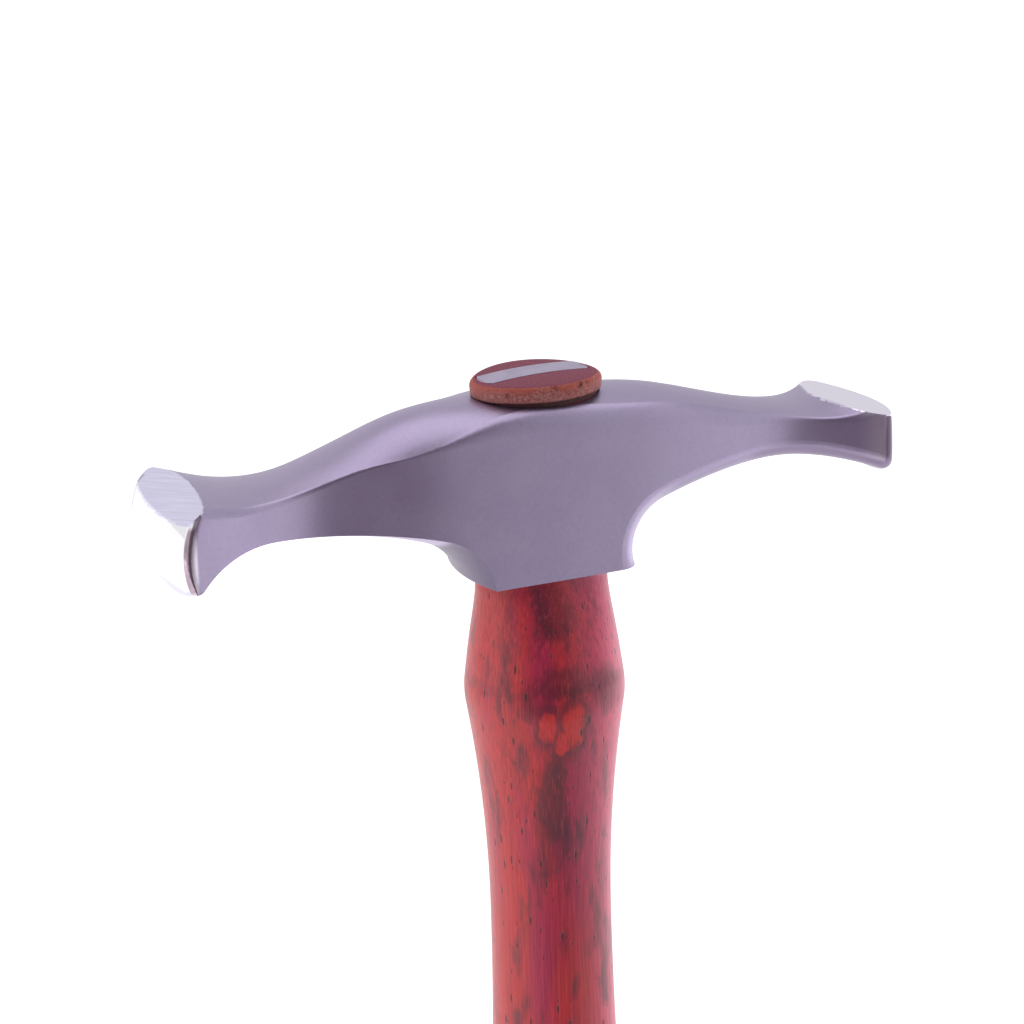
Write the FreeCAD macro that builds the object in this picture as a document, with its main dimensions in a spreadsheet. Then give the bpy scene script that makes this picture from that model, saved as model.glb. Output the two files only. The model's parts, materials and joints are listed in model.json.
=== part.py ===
import FreeCAD, Part
import math
import os
import Sketcher

# Raising hammer for sheet metal: one steel head, one turned hardwood handle, one steel wedge.
# Millimetres. Z runs up the handle, X along the head, with the taller, wider-arched face at -X.
# The origin is on the handle's axis, in the plane of the head's underside.

doc = FreeCAD.newDocument("RaisingHammer")
sheet = doc.addObject("Spreadsheet::Sheet", "Sizes")

SIZES = [
    # Head: reach of the two faces from the handle's axis, face widths and face curves
    ("left_reach", 58.8), ("left_face_width", 26.4), ("left_face_radius", 14.0),
    ("left_face_height", 12.4), ("left_face_bow", 0.8),
    ("right_reach", 56.2), ("right_face_width", 26.6), ("right_face_radius", 21.2),
    ("right_face_height", 12.8), ("right_face_bow", 1.2),
    # Head: body over the eye, the two necks and the two flares
    ("body_width", 18.4), ("body_height", 26.3), ("body_reach", 10.0),
    ("left_neck_width", 13.8), ("left_neck_height", 19.2), ("left_flare_run", 20.3),
    ("right_neck_width", 14.0), ("right_neck_height", 19.1), ("right_flare_run", 16.7),
    ("left_flare_height", 22.2), ("right_flare_height", 23.6),
    ("crown_drop", 3.7), ("shoulder_round", 2.6),
    # Head: underside, from the foot of the boss over the arch to the heel of the face
    ("left_foot", 12.5), ("left_bend_reach", 20.0), ("left_bend_height", 6.9),
    ("left_arch_run", 15.5), ("left_arch_height", 10.9), ("left_heel_height", 0.4),
    ("right_foot", 12.7), ("right_bend_reach", 17.0), ("right_bend_height", 8.9),
    ("right_arch_run", 20.2), ("right_arch_height", 12.0), ("right_heel_height", 6.2),
    ("foot_bow", 5.0), ("left_arch_bow", 6.0), ("right_arch_bow", 2.3),
    ("left_heel_bow", 3.0), ("right_heel_bow", 2.3),
    ("right_edge_round", 2.8), ("left_face_round", 1.2), ("right_face_round", 1.4),
    # Head: what is milled off the underside to leave the flat foot of the boss
    ("foot_stock", 1.0),
    # Head: the flat ground on the top corner of each end
    ("left_flat_inset", 2.4), ("left_flat_height", 18.4), ("left_flat_angle", 40.0),
    ("right_flat_inset", 4.8), ("right_flat_height", 18.1), ("right_flat_angle", 10.0),
    ("flat_run", 7.0),
    # Eye: an oval hole, drawn in all round at its waist and a little at its top
    ("eye_length", 19.8), ("eye_width", 15.5), ("eye_end_round", 6.0),
    ("eye_waist_height", 12.0), ("eye_waist_inset", 1.0), ("eye_top_inset", 0.3),
    # Handle: tenon through the eye, shaved neck, turned swell, waist, grip and butt
    ("fit_clearance", 0.1), ("tenon_stand", 2.7), ("tenon_dome", 0.6),
    ("tenon_spread", 0.2), ("tenon_rim_height", 1.1), ("tenon_rim_inset", 0.8),
    ("seat_gap", 2.3), ("neck_step", 0.2), ("shave_height", 17.0),
    ("swell_width", 24.0), ("swell_height", 19.0), ("swell_round", 14.0),
    ("waist_width", 18.4), ("waist_height", 54.0), ("waist_sweep", 678.0),
    ("grip_width", 29.6), ("butt_height", 226.0), ("butt_round", 6.8),
    # Wedge: a steel key driven into the tenon, its ends ground to the tenon's outline
    ("wedge_length", 17.8), ("wedge_top", 5.0), ("wedge_tip", 1.2), ("wedge_tip_length", 14.0),
    ("wedge_depth", 16.0), ("wedge_end_round", 6.4), ("wedge_offset", 1.2), ("wedge_skew", 4.0),
    # How far every cutting sketch runs past the metal or wood that it cuts
    ("overrun", 4.0),
]
for row, (alias, number) in enumerate(SIZES, start=1):
    sheet.set(f"A{row}", alias)
    sheet.set(f"B{row}", str(number))
    sheet.setAlias(f"B{row}", alias)
doc.recompute()


def value(expression):
    result = sheet.evalExpression(expression)
    return float(getattr(result, "Value", result))


def origin_item(body, role):
    return next(item for item in body.Origin.OriginFeatures if item.Role == role)


def new_body(name):
    body = doc.addObject("PartDesign::Body", name)
    body.Label = name
    return body


def new_sketch(body, name, role, offset=None):
    """A sketch on one of the body's own origin planes, moved along its normal by an expression."""
    sketch = body.newObject("Sketcher::SketchObject", name)
    sketch.AttachmentSupport = (origin_item(body, role), [""])
    sketch.MapMode = "FlatFace"
    if offset:
        sketch.setExpression("AttachmentOffset.Base.z", offset)
    return sketch


def size(sketch, kind, name, expression, *where):
    """Adds a named dimension that follows an expression of the sheet."""
    index = sketch.addConstraint(Sketcher.Constraint(kind, *where, value(expression)))
    sketch.renameConstraint(index, name)
    sketch.setExpression(f"Constraints.{name}", expression)


def rule(sketch, kind, *where):
    sketch.addConstraint(Sketcher.Constraint(kind, *where))


def spot(x, y):
    return FreeCAD.Vector(x, y, 0)


def line(sketch, start, end, construction=False):
    return sketch.addGeometry(Part.LineSegment(spot(*start), spot(*end)), construction)


def arc(sketch, centre, start, end, construction=False):
    """An arc that runs anticlockwise from start to end."""
    radius = math.dist(centre, start)
    first = math.atan2(start[1] - centre[1], start[0] - centre[0])
    last = math.atan2(end[1] - centre[1], end[0] - centre[0])
    circle = Part.Circle(spot(*centre), FreeCAD.Vector(0, 0, 1), radius)
    if last < first:
        last += 2 * math.pi
    return sketch.addGeometry(Part.ArcOfCircle(circle, first, last), construction)


# Names of the sketch origin and axes, and of the points on a line or arc
HORIZONTAL, VERTICAL = range(-1, -3, -1)
START, END, CENTRE = range(1, 4)


def rounded_section(body, name, reach, width, height, drop, corner):
    """Cross-section of the head: flat foot, upright sides, rounded shoulders and a crowned top."""
    sketch = new_sketch(body, name, "YZ_Plane", reach)
    half = value(width) / 2
    top, fall, rounding = value(height), value(drop), value(corner)
    crown = (half ** 2 + fall ** 2) / (2 * fall)
    middle = top - crown
    inset = half - rounding
    shoulder = middle + math.sqrt((crown - rounding) ** 2 - inset ** 2)
    share = crown / (crown - rounding)
    meet = (inset * share, middle + (shoulder - middle) * share)
    under = -value("Sizes.foot_stock")
    foot = line(sketch, (-half, under), (half, under))
    side = line(sketch, (half, under), (half, shoulder))
    rounded = arc(sketch, (inset, shoulder), (half, shoulder), meet)
    crowned = arc(sketch, (0, middle), meet, (-meet[0], meet[1]))
    far_rounded = arc(sketch, (-inset, shoulder), (-meet[0], meet[1]), (-half, shoulder))
    far_side = line(sketch, (-half, shoulder), (-half, under))
    ridge = line(sketch, (0, 0), (0, top), True)
    rule(sketch, "Coincident", foot, END, side, START)
    rule(sketch, "Coincident", far_side, END, foot, START)
    rule(sketch, "Tangent", side, END, rounded, START)
    rule(sketch, "Tangent", rounded, END, crowned, START)
    rule(sketch, "Tangent", crowned, END, far_rounded, START)
    rule(sketch, "Tangent", far_rounded, END, far_side, START)
    rule(sketch, "Vertical", side)
    rule(sketch, "Vertical", far_side)
    rule(sketch, "Symmetric", foot, START, foot, END, VERTICAL)
    rule(sketch, "Equal", rounded, far_rounded)
    rule(sketch, "Coincident", ridge, START, HORIZONTAL, START)
    rule(sketch, "PointOnObject", ridge, END, VERTICAL)
    rule(sketch, "PointOnObject", ridge, END, crowned)
    rule(sketch, "PointOnObject", crowned, CENTRE, VERTICAL)
    size(sketch, "DistanceX", "width", width, foot, START, foot, END)
    size(sketch, "DistanceY", "stock", "Sizes.foot_stock", foot, START, HORIZONTAL, START)
    size(sketch, "DistanceY", "height", height, ridge, START, ridge, END)
    size(sketch, "Radius", "corner", corner, rounded)
    crown_rule = f"(({width}) ^ 2 / 4 + ({drop}) ^ 2) / (2 * ({drop}))"
    size(sketch, "Radius", "crown", crown_rule, crowned)
    return sketch


def between(first, last, share):
    return f"({first}) + (({last}) - ({first})) * {share}"


# Stations of the head, as shares: reach, width and height between the neck (0) and the end
# that the table names (1), then crown and corner as shares of crown_drop and shoulder_round.
OUTER_SHARES = [
    ("end", 1.08, 1.14, 1.10, 0.45, 0.60),
    ("flare", 0.76, 0.80, 0.55, 0.40, 0.60),
    ("throat", 0.48, 0.42, 0.00, 0.32, 0.45),
]
INNER_SHARES = {
    "left": [("slope", 0.30, 0.28, 0.44, 0.52, 0.18),
             ("haunch", 0.61, 0.82, 0.88, 1.00, 0.24),
             ("body", 1.00, 1.00, 1.00, 0.52, 1.00)],
    "right": [("slope", 0.40, 0.36, 0.42, 0.44, 1.00),
              ("haunch", 0.72, 0.84, 0.78, 0.50, 1.10),
              ("body", 1.00, 1.00, 0.92, 0.50, 1.10)],
}


def station(body, side, shares, target):
    name, along, wide, high, drop, corner = shares
    sign = "-" if side == "left" else ""
    reach = between(f"Sizes.{side}_reach - Sizes.{side}_flare_run", target[0], along)
    width = between(f"Sizes.{side}_neck_width", target[1], wide)
    height = between(f"Sizes.{side}_neck_height", target[2], high)
    return rounded_section(body, f"{side}_{name}", f"{sign}({reach})", width, height,
                           f"Sizes.crown_drop * {drop}", f"Sizes.shoulder_round * {corner}")


def arm_sections(body, side):
    """Sections of one arm from its face to the body over the eye."""
    face = (f"Sizes.{side}_reach", f"Sizes.{side}_face_width", f"Sizes.{side}_flare_height")
    middle = ("Sizes.body_reach", "Sizes.body_width", "Sizes.body_height")
    neck = ("neck", 0, 0, 0, 0.24, 0.30)
    outer = [station(body, side, shares, face) for shares in OUTER_SHARES]
    inner = [station(body, side, shares, middle) for shares in [neck] + INNER_SHARES[side]]
    return outer + inner


head = new_body("head")
left = arm_sections(head, "left")
right = arm_sections(head, "right")
blank = head.newObject("PartDesign::AdditiveLoft", "blank")
blank.Profile = left[0]
blank.Sections = left[1:] + right[::-1]
doc.recompute()


def arch_section(body, name, side, offset, foot, bend, arch, heel):
    """The region under one arm, from the boss's foot round the bend and over the arch to the heel."""
    sketch = new_sketch(body, name, "XZ_Plane", offset)
    turn = -1 if side == "left" else 1
    first = (turn * value(foot), 0)
    second = (turn * value(bend[0]), value(bend[1]))
    third = (turn * value(arch[0]), value(arch[1]))
    last = (turn * value(heel[0]), value(heel[1]))
    below = -value("Sizes.overrun")
    rise = third[1] - second[1]
    wide = ((third[0] - second[0]) ** 2 + rise ** 2) / (2 * rise)
    wide_centre = (third[0], third[1] - wide)
    drop = third[1] - last[1]
    outer = ((last[0] - third[0]) ** 2 + drop ** 2) / (2 * drop)
    outer_centre = (third[0], third[1] - outer)
    aim = ((wide_centre[0] - second[0]) / wide, (wide_centre[1] - second[1]) / wide)
    back = (first[0] - second[0], first[1] - second[1])
    tight = (back[0] ** 2 + back[1] ** 2) / (2 * (back[0] * aim[0] + back[1] * aim[1]))
    tight_centre = (second[0] + tight * aim[0], second[1] + tight * aim[1])
    runs = [(tight_centre, first, second), (wide_centre, second, third), (outer_centre, third, last)]
    near, far = (START, END) if side == "left" else (END, START)
    arcs = []
    for centre, begin, finish in runs:
        ends = (begin, finish) if side == "left" else (finish, begin)
        arcs.append(arc(sketch, centre, *ends))
    down = line(sketch, last, (last[0], below))
    floor = line(sketch, (last[0], below), (first[0], below))
    close = line(sketch, (first[0], below), first)
    for one, other in zip(arcs, arcs[1:]):
        rule(sketch, "Tangent", one, far, other, near)
    rule(sketch, "Coincident", arcs[-1], far, down, START)
    rule(sketch, "Coincident", down, END, floor, START)
    rule(sketch, "Coincident", floor, END, close, START)
    rule(sketch, "Coincident", close, END, arcs[0], near)
    rule(sketch, "Vertical", down)
    rule(sketch, "Vertical", close)
    rule(sketch, "Horizontal", floor)
    rule(sketch, "PointOnObject", arcs[0], near, HORIZONTAL)
    rule(sketch, "Vertical", arcs[-1], CENTRE, arcs[-1], near)
    for label, index, where, place in (("foot", 0, near, (foot, None)), ("bend", 0, far, bend),
                                       ("arch", 1, far, arch), ("heel", 2, far, heel)):
        ends = (arcs[index], where, HORIZONTAL, START)
        if side == "right":
            ends = (HORIZONTAL, START, arcs[index], where)
        size(sketch, "DistanceX", f"{label}_reach", place[0], *ends)
        if place[1]:
            size(sketch, "DistanceY", f"{label}_height", place[1], HORIZONTAL, START, arcs[index], where)
    size(sketch, "DistanceY", "below", "Sizes.overrun", floor, END, HORIZONTAL, START)
    return sketch


def hollow_under(body, side):
    """Cuts the arched underside of one arm; it bows down and outwards in the middle of the width."""
    half = f"(Sizes.{side}_face_width / 2 + Sizes.overrun)"
    middle = [f"Sizes.{side}_foot",
              (f"Sizes.{side}_bend_reach", f"Sizes.{side}_bend_height"),
              (f"Sizes.{side}_reach - Sizes.{side}_arch_run", f"Sizes.{side}_arch_height"),
              (f"Sizes.{side}_reach", f"Sizes.{side}_heel_height")]
    edge = [middle[0] + " - Sizes.foot_bow",
            (middle[1][0] + f" - Sizes.{side}_arch_bow", middle[1][1] + f" + Sizes.{side}_arch_bow"),
            (middle[2][0], middle[2][1] + f" + Sizes.{side}_arch_bow"),
            (middle[3][0], middle[3][1] + f" + Sizes.{side}_heel_bow")]
    near = arch_section(body, f"{side}_arch_near", side, half, *edge)
    centre = arch_section(body, f"{side}_arch_middle", side, None, *middle)
    far = arch_section(body, f"{side}_arch_far", side, f"-{half}", *edge)
    hollow = body.newObject("PartDesign::SubtractiveLoft", f"{side}_underside")
    hollow.Profile = near
    hollow.Sections = [centre, far]
    return hollow


def polygon(sketch, corners):
    """A closed outline of straight lines, joined corner to corner."""
    edges = [line(sketch, a, b) for a, b in zip(corners, corners[1:] + corners[:1])]
    for one, other in zip(edges, edges[1:] + edges[:1]):
        rule(sketch, "Coincident", one, END, other, START)
    return edges


def mill_foot(body):
    """Mills the underside flat, over the whole head and a little past it."""
    sketch = new_sketch(body, "foot_outline", "XZ_Plane")
    left_rule = "Sizes.left_reach + Sizes.overrun"
    right_rule = "Sizes.right_reach + Sizes.overrun"
    depth_rule = "Sizes.foot_stock + Sizes.overrun"
    left_end, right_end, depth = -value(left_rule), value(right_rule), -value(depth_rule)
    edges = polygon(sketch, [(left_end, 0), (left_end, depth), (right_end, depth), (right_end, 0)])
    rule(sketch, "Vertical", edges[0])
    rule(sketch, "Horizontal", edges[1])
    rule(sketch, "Vertical", edges[2])
    rule(sketch, "PointOnObject", edges[0], START, HORIZONTAL)
    rule(sketch, "PointOnObject", edges[3], START, HORIZONTAL)
    size(sketch, "DistanceX", "left_end", left_rule, edges[0], START, HORIZONTAL, START)
    size(sketch, "DistanceX", "right_end", right_rule, HORIZONTAL, START, edges[3], START)
    size(sketch, "DistanceY", "depth", depth_rule, edges[1], START, HORIZONTAL, START)
    foot = body.newObject("PartDesign::Pocket", "foot")
    foot.Profile = sketch
    foot.SideType = "Symmetric"
    foot.setExpression("Length", "Sizes.body_width + 2 * Sizes.right_face_width")
    return foot


def grind_flat(body, side):
    """Grinds the sloping flat on the top corner of one end, straight across the width."""
    turn = -1 if side == "left" else 1
    slope = f"tan(Sizes.{side}_flat_angle * 1 deg)"
    middle = f"Sizes.{side}_reach - Sizes.{side}_flat_inset"
    outer = (f"{middle} + Sizes.flat_run",
             f"Sizes.{side}_flat_height - Sizes.flat_run * {slope}")
    inner = (f"{middle} - Sizes.flat_run",
             f"Sizes.{side}_flat_height + Sizes.flat_run * {slope}")
    top = f"Sizes.{side}_flare_height + 2 * Sizes.overrun"
    sketch = new_sketch(body, f"{side}_flat_outline", "XZ_Plane")
    places = [outer, inner, (inner[0], top), (outer[0], top)]
    edges = polygon(sketch, [(turn * value(x), value(z)) for x, z in places])
    rule(sketch, "Horizontal", edges[2])
    rule(sketch, "Vertical", edges[1])
    rule(sketch, "Vertical", edges[3])
    for label, edge, place in (("outer", edges[0], outer), ("inner", edges[1], inner)):
        ends = (edge, START, HORIZONTAL, START)
        if side == "right":
            ends = (HORIZONTAL, START, edge, START)
        size(sketch, "DistanceX", f"{label}_reach", place[0], *ends)
        size(sketch, "DistanceY", f"{label}_height", place[1], HORIZONTAL, START, edge, START)
    size(sketch, "DistanceY", "top", top, HORIZONTAL, START, edges[2], START)
    flat = body.newObject("PartDesign::Pocket", f"{side}_flat")
    flat.Profile = sketch
    flat.SideType = "Symmetric"
    flat.setExpression("Length", f"Sizes.{side}_face_width + 4 * Sizes.overrun")
    return flat


def turn_face(body, side, role, offset, half_span):
    """Rounds one striking face: a barrel curve, turned about an axis inside the head."""
    sketch = new_sketch(body, f"{side}_face_curve", role, offset)
    turn = -1 if side == "left" else 1
    reach, bow, radius = (f"Sizes.{side}_{word}" for word in ("reach", "face_bow", "face_radius"))
    curve_rule = f"((Sizes.{side}_face_width / 2) ^ 2 + {bow} ^ 2) / (2 * {bow})"
    edge_rule = f"{reach} - {curve_rule} + sqrt(({curve_rule}) ^ 2 - ({half_span}) ^ 2)"
    half, curve, tip = value(half_span), value(curve_rule), value(reach)
    level = 0 if side == "left" else value("Sizes.right_face_height")
    past_rule = f"{reach} + Sizes.{side}_face_width / 2"
    edge, past = value(edge_rule), value(past_rule)
    low, high = (turn * edge, level - half), (turn * edge, level + half)
    centre = (turn * (tip - curve), level)
    ends = (high, low) if side == "left" else (low, high)
    crown = arc(sketch, centre, *ends)
    low_end, high_end = (END, START) if side == "left" else (START, END)
    bottom = line(sketch, low, (turn * past, low[1]))
    outside = line(sketch, (turn * past, low[1]), (turn * past, high[1]))
    top = line(sketch, (turn * past, high[1]), high)
    rule(sketch, "Coincident", crown, low_end, bottom, START)
    rule(sketch, "Coincident", bottom, END, outside, START)
    rule(sketch, "Coincident", outside, END, top, START)
    rule(sketch, "Coincident", top, END, crown, high_end)
    rule(sketch, "Horizontal", bottom)
    rule(sketch, "Horizontal", top)
    rule(sketch, "Vertical", outside)
    rule(sketch, "Vertical", crown, START, crown, END)
    size(sketch, "DistanceY", "span", f"2 * {half_span}", outside, START, outside, END)
    size(sketch, "Radius", "curve", curve_rule, crown)
    pivot = turn * (tip - value(radius))
    axis = line(sketch, (pivot, level - half), (pivot, level + half), True)
    rule(sketch, "Vertical", axis)
    rule(sketch, "Horizontal", axis, START, outside, START)
    rule(sketch, "Horizontal", axis, END, outside, END)
    for label, what, rule_text in (("edge", (crown, START), edge_rule),
                                   ("past", (outside, START), past_rule),
                                   ("pivot", (axis, START), f"{reach} - {radius}")):
        ends = (*what, HORIZONTAL, START) if side == "left" else (HORIZONTAL, START, *what)
        size(sketch, "DistanceX", label, rule_text, *ends)
    if side == "left":
        rule(sketch, "PointOnObject", crown, CENTRE, HORIZONTAL)
    else:
        size(sketch, "DistanceY", "level", "Sizes.right_face_height", HORIZONTAL, START, crown, CENTRE)
    face = body.newObject("PartDesign::Groove", f"{side}_face")
    face.Profile = sketch
    face.ReferenceAxis = (sketch, ["Axis0"])
    face.Angle = 180
    face.Midplane = True
    return face


def round_edges(body, feature, names, name, radius):
    """Rounds the named edges of a feature to a radius from the sheet."""
    rounded = body.newObject("PartDesign::Fillet", name)
    rounded.Base = (feature, names)
    rounded.setExpression("Radius", radius)
    doc.recompute()
    return rounded


def edge_names(shape, test):
    return [f"Edge{number}" for number, edge in enumerate(shape.Edges, start=1) if test(edge)]


def flank_edges(shape, side):
    """Edges where the two flanks of one arm meet its arched underside."""
    turn = -1 if side == "left" else 1
    inner = value(f"Sizes.{side}_foot - Sizes.foot_bow")
    upper = value(f"Sizes.{side}_face_height")
    outward = value(f"Sizes.{side}_neck_width") * FLANK_SHARE

    def on_flank(edge):
        middle = edge.valueAt((edge.FirstParameter + edge.LastParameter) / 2)
        places = [middle] + [vertex.Point for vertex in edge.Vertexes]
        return all(turn * place.x > inner and abs(place.y) > outward and place.z < upper
                   for place in places)

    return edge_names(shape, on_flank)


def face_outline(shape, side):
    """Edges of the striking face but its top one, lowest first."""
    turn = -1 if side == "left" else 1
    face = max(shape.Faces, key=lambda item: turn * item.CenterOfMass.x)
    names = edge_names(shape, lambda edge: any(edge.isSame(other) for other in face.Edges))
    names.sort(key=lambda name: shape.getElement(name).CenterOfMass.z)
    return names[:-1]


def ellipse(body, name, height, length, width):
    """An ellipse at a height, its long axis along the head."""
    sketch = new_sketch(body, name, "XY_Plane", height)
    half, short = value(length) / 2, value(width) / 2
    ring = sketch.addGeometry(Part.Ellipse(spot(half, 0), spot(0, short), spot(0, 0)))
    sketch.exposeInternalGeometry(ring)
    long_axis, short_axis = ring + 1, ring + 2
    rule(sketch, "Coincident", ring, CENTRE, HORIZONTAL, START)
    rule(sketch, "Horizontal", long_axis)
    size(sketch, "Distance", "length", length, long_axis)
    size(sketch, "Distance", "width", width, short_axis)
    return sketch


def oval(body, name, height, inset):
    """The eye's oval at a height, drawn in all round: two end arcs run into two side arcs."""
    sketch = new_sketch(body, name, "XY_Plane", height)
    length_rule = f"Sizes.eye_length - 2 * ({inset})"
    width_rule = f"Sizes.eye_width - 2 * ({inset})"
    round_rule = f"Sizes.eye_end_round - ({inset})"
    half, short, end_r = value(length_rule) / 2, value(width_rule) / 2, value(round_rule)
    out, rise = half - end_r, short - end_r
    down = (out ** 2 - rise ** 2) / (2 * rise)
    side_r = short + down
    meet = (out + out * end_r / (side_r - end_r), down * end_r / (side_r - end_r))
    right_end = arc(sketch, (out, 0), (meet[0], -meet[1]), meet)
    far = arc(sketch, (0, -down), meet, (-meet[0], meet[1]))
    left_end = arc(sketch, (-out, 0), (-meet[0], meet[1]), (-meet[0], -meet[1]))
    near = arc(sketch, (0, down), (-meet[0], -meet[1]), (meet[0], -meet[1]))
    spine = line(sketch, (-half, 0), (half, 0), True)
    rib = line(sketch, (0, -short), (0, short), True)
    for one, other in ((right_end, far), (far, left_end), (left_end, near), (near, right_end)):
        rule(sketch, "Tangent", one, END, other, START)
    for end, where in ((right_end, END), (left_end, START)):
        rule(sketch, "PointOnObject", end, CENTRE, HORIZONTAL)
        rule(sketch, "PointOnObject", spine, where, end)
        rule(sketch, "PointOnObject", spine, where, HORIZONTAL)
    for side, where in ((far, END), (near, START)):
        rule(sketch, "PointOnObject", rib, where, side)
        rule(sketch, "PointOnObject", rib, where, VERTICAL)
    rule(sketch, "Equal", right_end, left_end)
    size(sketch, "Radius", "end_round", round_rule, right_end)
    size(sketch, "DistanceX", "right_half", f"({length_rule}) / 2", HORIZONTAL, START, spine, END)
    size(sketch, "DistanceX", "left_half", f"({length_rule}) / 2", spine, START, HORIZONTAL, START)
    size(sketch, "DistanceY", "far_half", f"({width_rule}) / 2", HORIZONTAL, START, rib, END)
    size(sketch, "DistanceY", "near_half", f"({width_rule}) / 2", rib, START, HORIZONTAL, START)
    return sketch


def loft(body, kind, name, sections, straight=False):
    """A solid or a cut through sections; a straight one runs in flat steps from each to the next."""
    solid = body.newObject(f"PartDesign::{kind}Loft", name)
    solid.Profile = sections[0]
    solid.Sections = sections[1:]
    solid.Ruled = straight
    return solid


# Least distance of a flank's edge from the middle plane, as a share of the neck's width
FLANK_SHARE = 0.4
mill_foot(head)
hollow_under(head, "left")
hollow_under(head, "right")
turn_face(head, "left", "XY_Plane", "Sizes.left_face_height", "Sizes.left_face_width")
turn_face(head, "right", "XZ_Plane", None, "Sizes.body_height")
grind_flat(head, "left")
solid = grind_flat(head, "right")
doc.recompute()
names = flank_edges(solid.Shape, "right")
solid = round_edges(head, solid, names, "right_edge_rounds", "Sizes.right_edge_round")
names = face_outline(solid.Shape, "right")[:1]
solid = round_edges(head, solid, names, "right_face_rounds", "Sizes.right_face_round")
names = face_outline(solid.Shape, "left")
solid = round_edges(head, solid, names, "left_face_rounds", "Sizes.left_face_round")

# The eye tapers in from both sides to its waist, so that the wedged tenon can't draw out again
EYE = [("foot", "-Sizes.overrun", "0"), ("mouth", "0", "0"),
       ("waist", "Sizes.eye_waist_height", "Sizes.eye_waist_inset"),
       ("top", "Sizes.body_height", "Sizes.eye_top_inset"),
       ("past", "Sizes.body_height + Sizes.overrun", "Sizes.eye_top_inset")]


def eye_ovals(body, stations, play):
    """Ovals of the eye at its stations, smaller by a play all round."""
    return [oval(body, f"{body.Label}_{name}", height, f"{inset} + {play}")
            for name, height, inset in stations]


loft(head, "Subtractive", "eye", eye_ovals(head, EYE, "0"), straight=True)
doc.recompute()

# Handle, turned part: swell, hollow waist, straight tapering grip and rounded butt
handle = new_body("handle")
profile = new_sketch(handle, "turned_profile", "XZ_Plane")
shave, swell, waist, butt = (-value(f"Sizes.{word}_height")
                             for word in ("shave", "swell", "waist", "butt"))
swell_r, waist_r, grip_r = (value(f"Sizes.{word}_width") / 2 for word in ("swell", "waist", "grip"))
swell_round, sweep, butt_round = (value(f"Sizes.{word}")
                                  for word in ("swell_round", "waist_sweep", "butt_round"))


def meeting(swell_z, swell_x, radius, waist_z, waist_x):
    """Where a bulging arc of known radius runs into a hollow one that is deepest at the waist."""
    across, along = swell_x - radius - waist_x, swell_z - waist_z
    outer = (across ** 2 + along ** 2 - radius ** 2) / (2 * (radius + across))
    centre = (waist_x + outer, waist_z)
    inner = (swell_x - radius, swell_z)
    share = radius / (radius + outer)
    shift = ((centre[0] - inner[0]) * share, (centre[1] - inner[1]) * share)
    return centre, (inner[0] + shift[0], inner[1] + shift[1])


def inner_tangent(hollow, hollow_radius, bulge, bulge_radius):
    """Ends of the straight line that joins a hollow arc above to a bulging arc below."""
    across, along = bulge[0] - hollow[0], bulge[1] - hollow[1]
    both = hollow_radius + bulge_radius
    apart = across ** 2 + along ** 2
    length = math.sqrt(apart - both ** 2)
    normal = (-(both * across + length * along) / apart, (length * across - both * along) / apart)
    return ((hollow[0] - hollow_radius * normal[0], hollow[1] - hollow_radius * normal[1]),
            (bulge[0] + bulge_radius * normal[0], bulge[1] + bulge_radius * normal[1]))


swell_centre = (swell_r - swell_round, swell)
start_r = swell_centre[0] + math.sqrt(swell_round ** 2 - (shave - swell) ** 2)
concave, swell_end = meeting(swell, swell_r, swell_round, waist, waist_r)
sweep_centre = (waist_r + sweep, waist)
butt_centre = (grip_r - butt_round, butt + butt_round)
sweep_end, grip_end = inner_tangent(sweep_centre, sweep, butt_centre, butt_round)
butt_r = butt_centre[0]
bulge = arc(profile, swell_centre, swell_end, (start_r, shave))
hollow = arc(profile, concave, swell_end, (waist_r, waist))
lower = arc(profile, sweep_centre, (waist_r, waist), sweep_end)
taper = line(profile, sweep_end, grip_end)
rounded = arc(profile, butt_centre, (butt_r, butt), grip_end)
base = line(profile, (butt_r, butt), (0, butt))
core = line(profile, (0, butt), (0, shave))
shoulder = line(profile, (0, shave), (start_r, shave))
rule(profile, "Tangent", bulge, START, hollow, START)
rule(profile, "Tangent", hollow, END, lower, START)
rule(profile, "Tangent", lower, END, taper, START)
rule(profile, "Tangent", taper, END, rounded, END)
rule(profile, "Tangent", rounded, START, base, START)
rule(profile, "Coincident", base, END, core, START)
rule(profile, "Coincident", core, END, shoulder, START)
rule(profile, "Coincident", shoulder, END, bulge, END)
rule(profile, "Horizontal", base)
rule(profile, "Horizontal", shoulder)
rule(profile, "PointOnObject", core, START, VERTICAL)
rule(profile, "PointOnObject", core, END, VERTICAL)
rule(profile, "Horizontal", hollow, END, hollow, CENTRE)
size(profile, "Radius", "swell_round", "Sizes.swell_round", bulge)
size(profile, "DistanceX", "swell_x", "Sizes.swell_round - Sizes.swell_width / 2",
     bulge, CENTRE, HORIZONTAL, START)
size(profile, "DistanceY", "swell_z", "Sizes.swell_height", bulge, CENTRE, HORIZONTAL, START)
size(profile, "DistanceY", "shave_z", "Sizes.shave_height", shoulder, START, HORIZONTAL, START)
size(profile, "DistanceX", "waist_x", "Sizes.waist_width / 2", HORIZONTAL, START, hollow, END)
size(profile, "DistanceY", "waist_z", "Sizes.waist_height", hollow, END, HORIZONTAL, START)
size(profile, "Radius", "waist_sweep", "Sizes.waist_sweep", lower)
size(profile, "Radius", "butt_round", "Sizes.butt_round", rounded)
size(profile, "DistanceX", "butt_x", "Sizes.grip_width / 2 - Sizes.butt_round",
     HORIZONTAL, START, rounded, CENTRE)
size(profile, "DistanceY", "butt_z", "Sizes.butt_height", base, START, HORIZONTAL, START)
turned = handle.newObject("PartDesign::Revolution", "turned")
turned.Profile = profile
turned.ReferenceAxis = (origin_item(handle, "Z_Axis"), [""])
turned.Angle = 360
doc.recompute()

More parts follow.
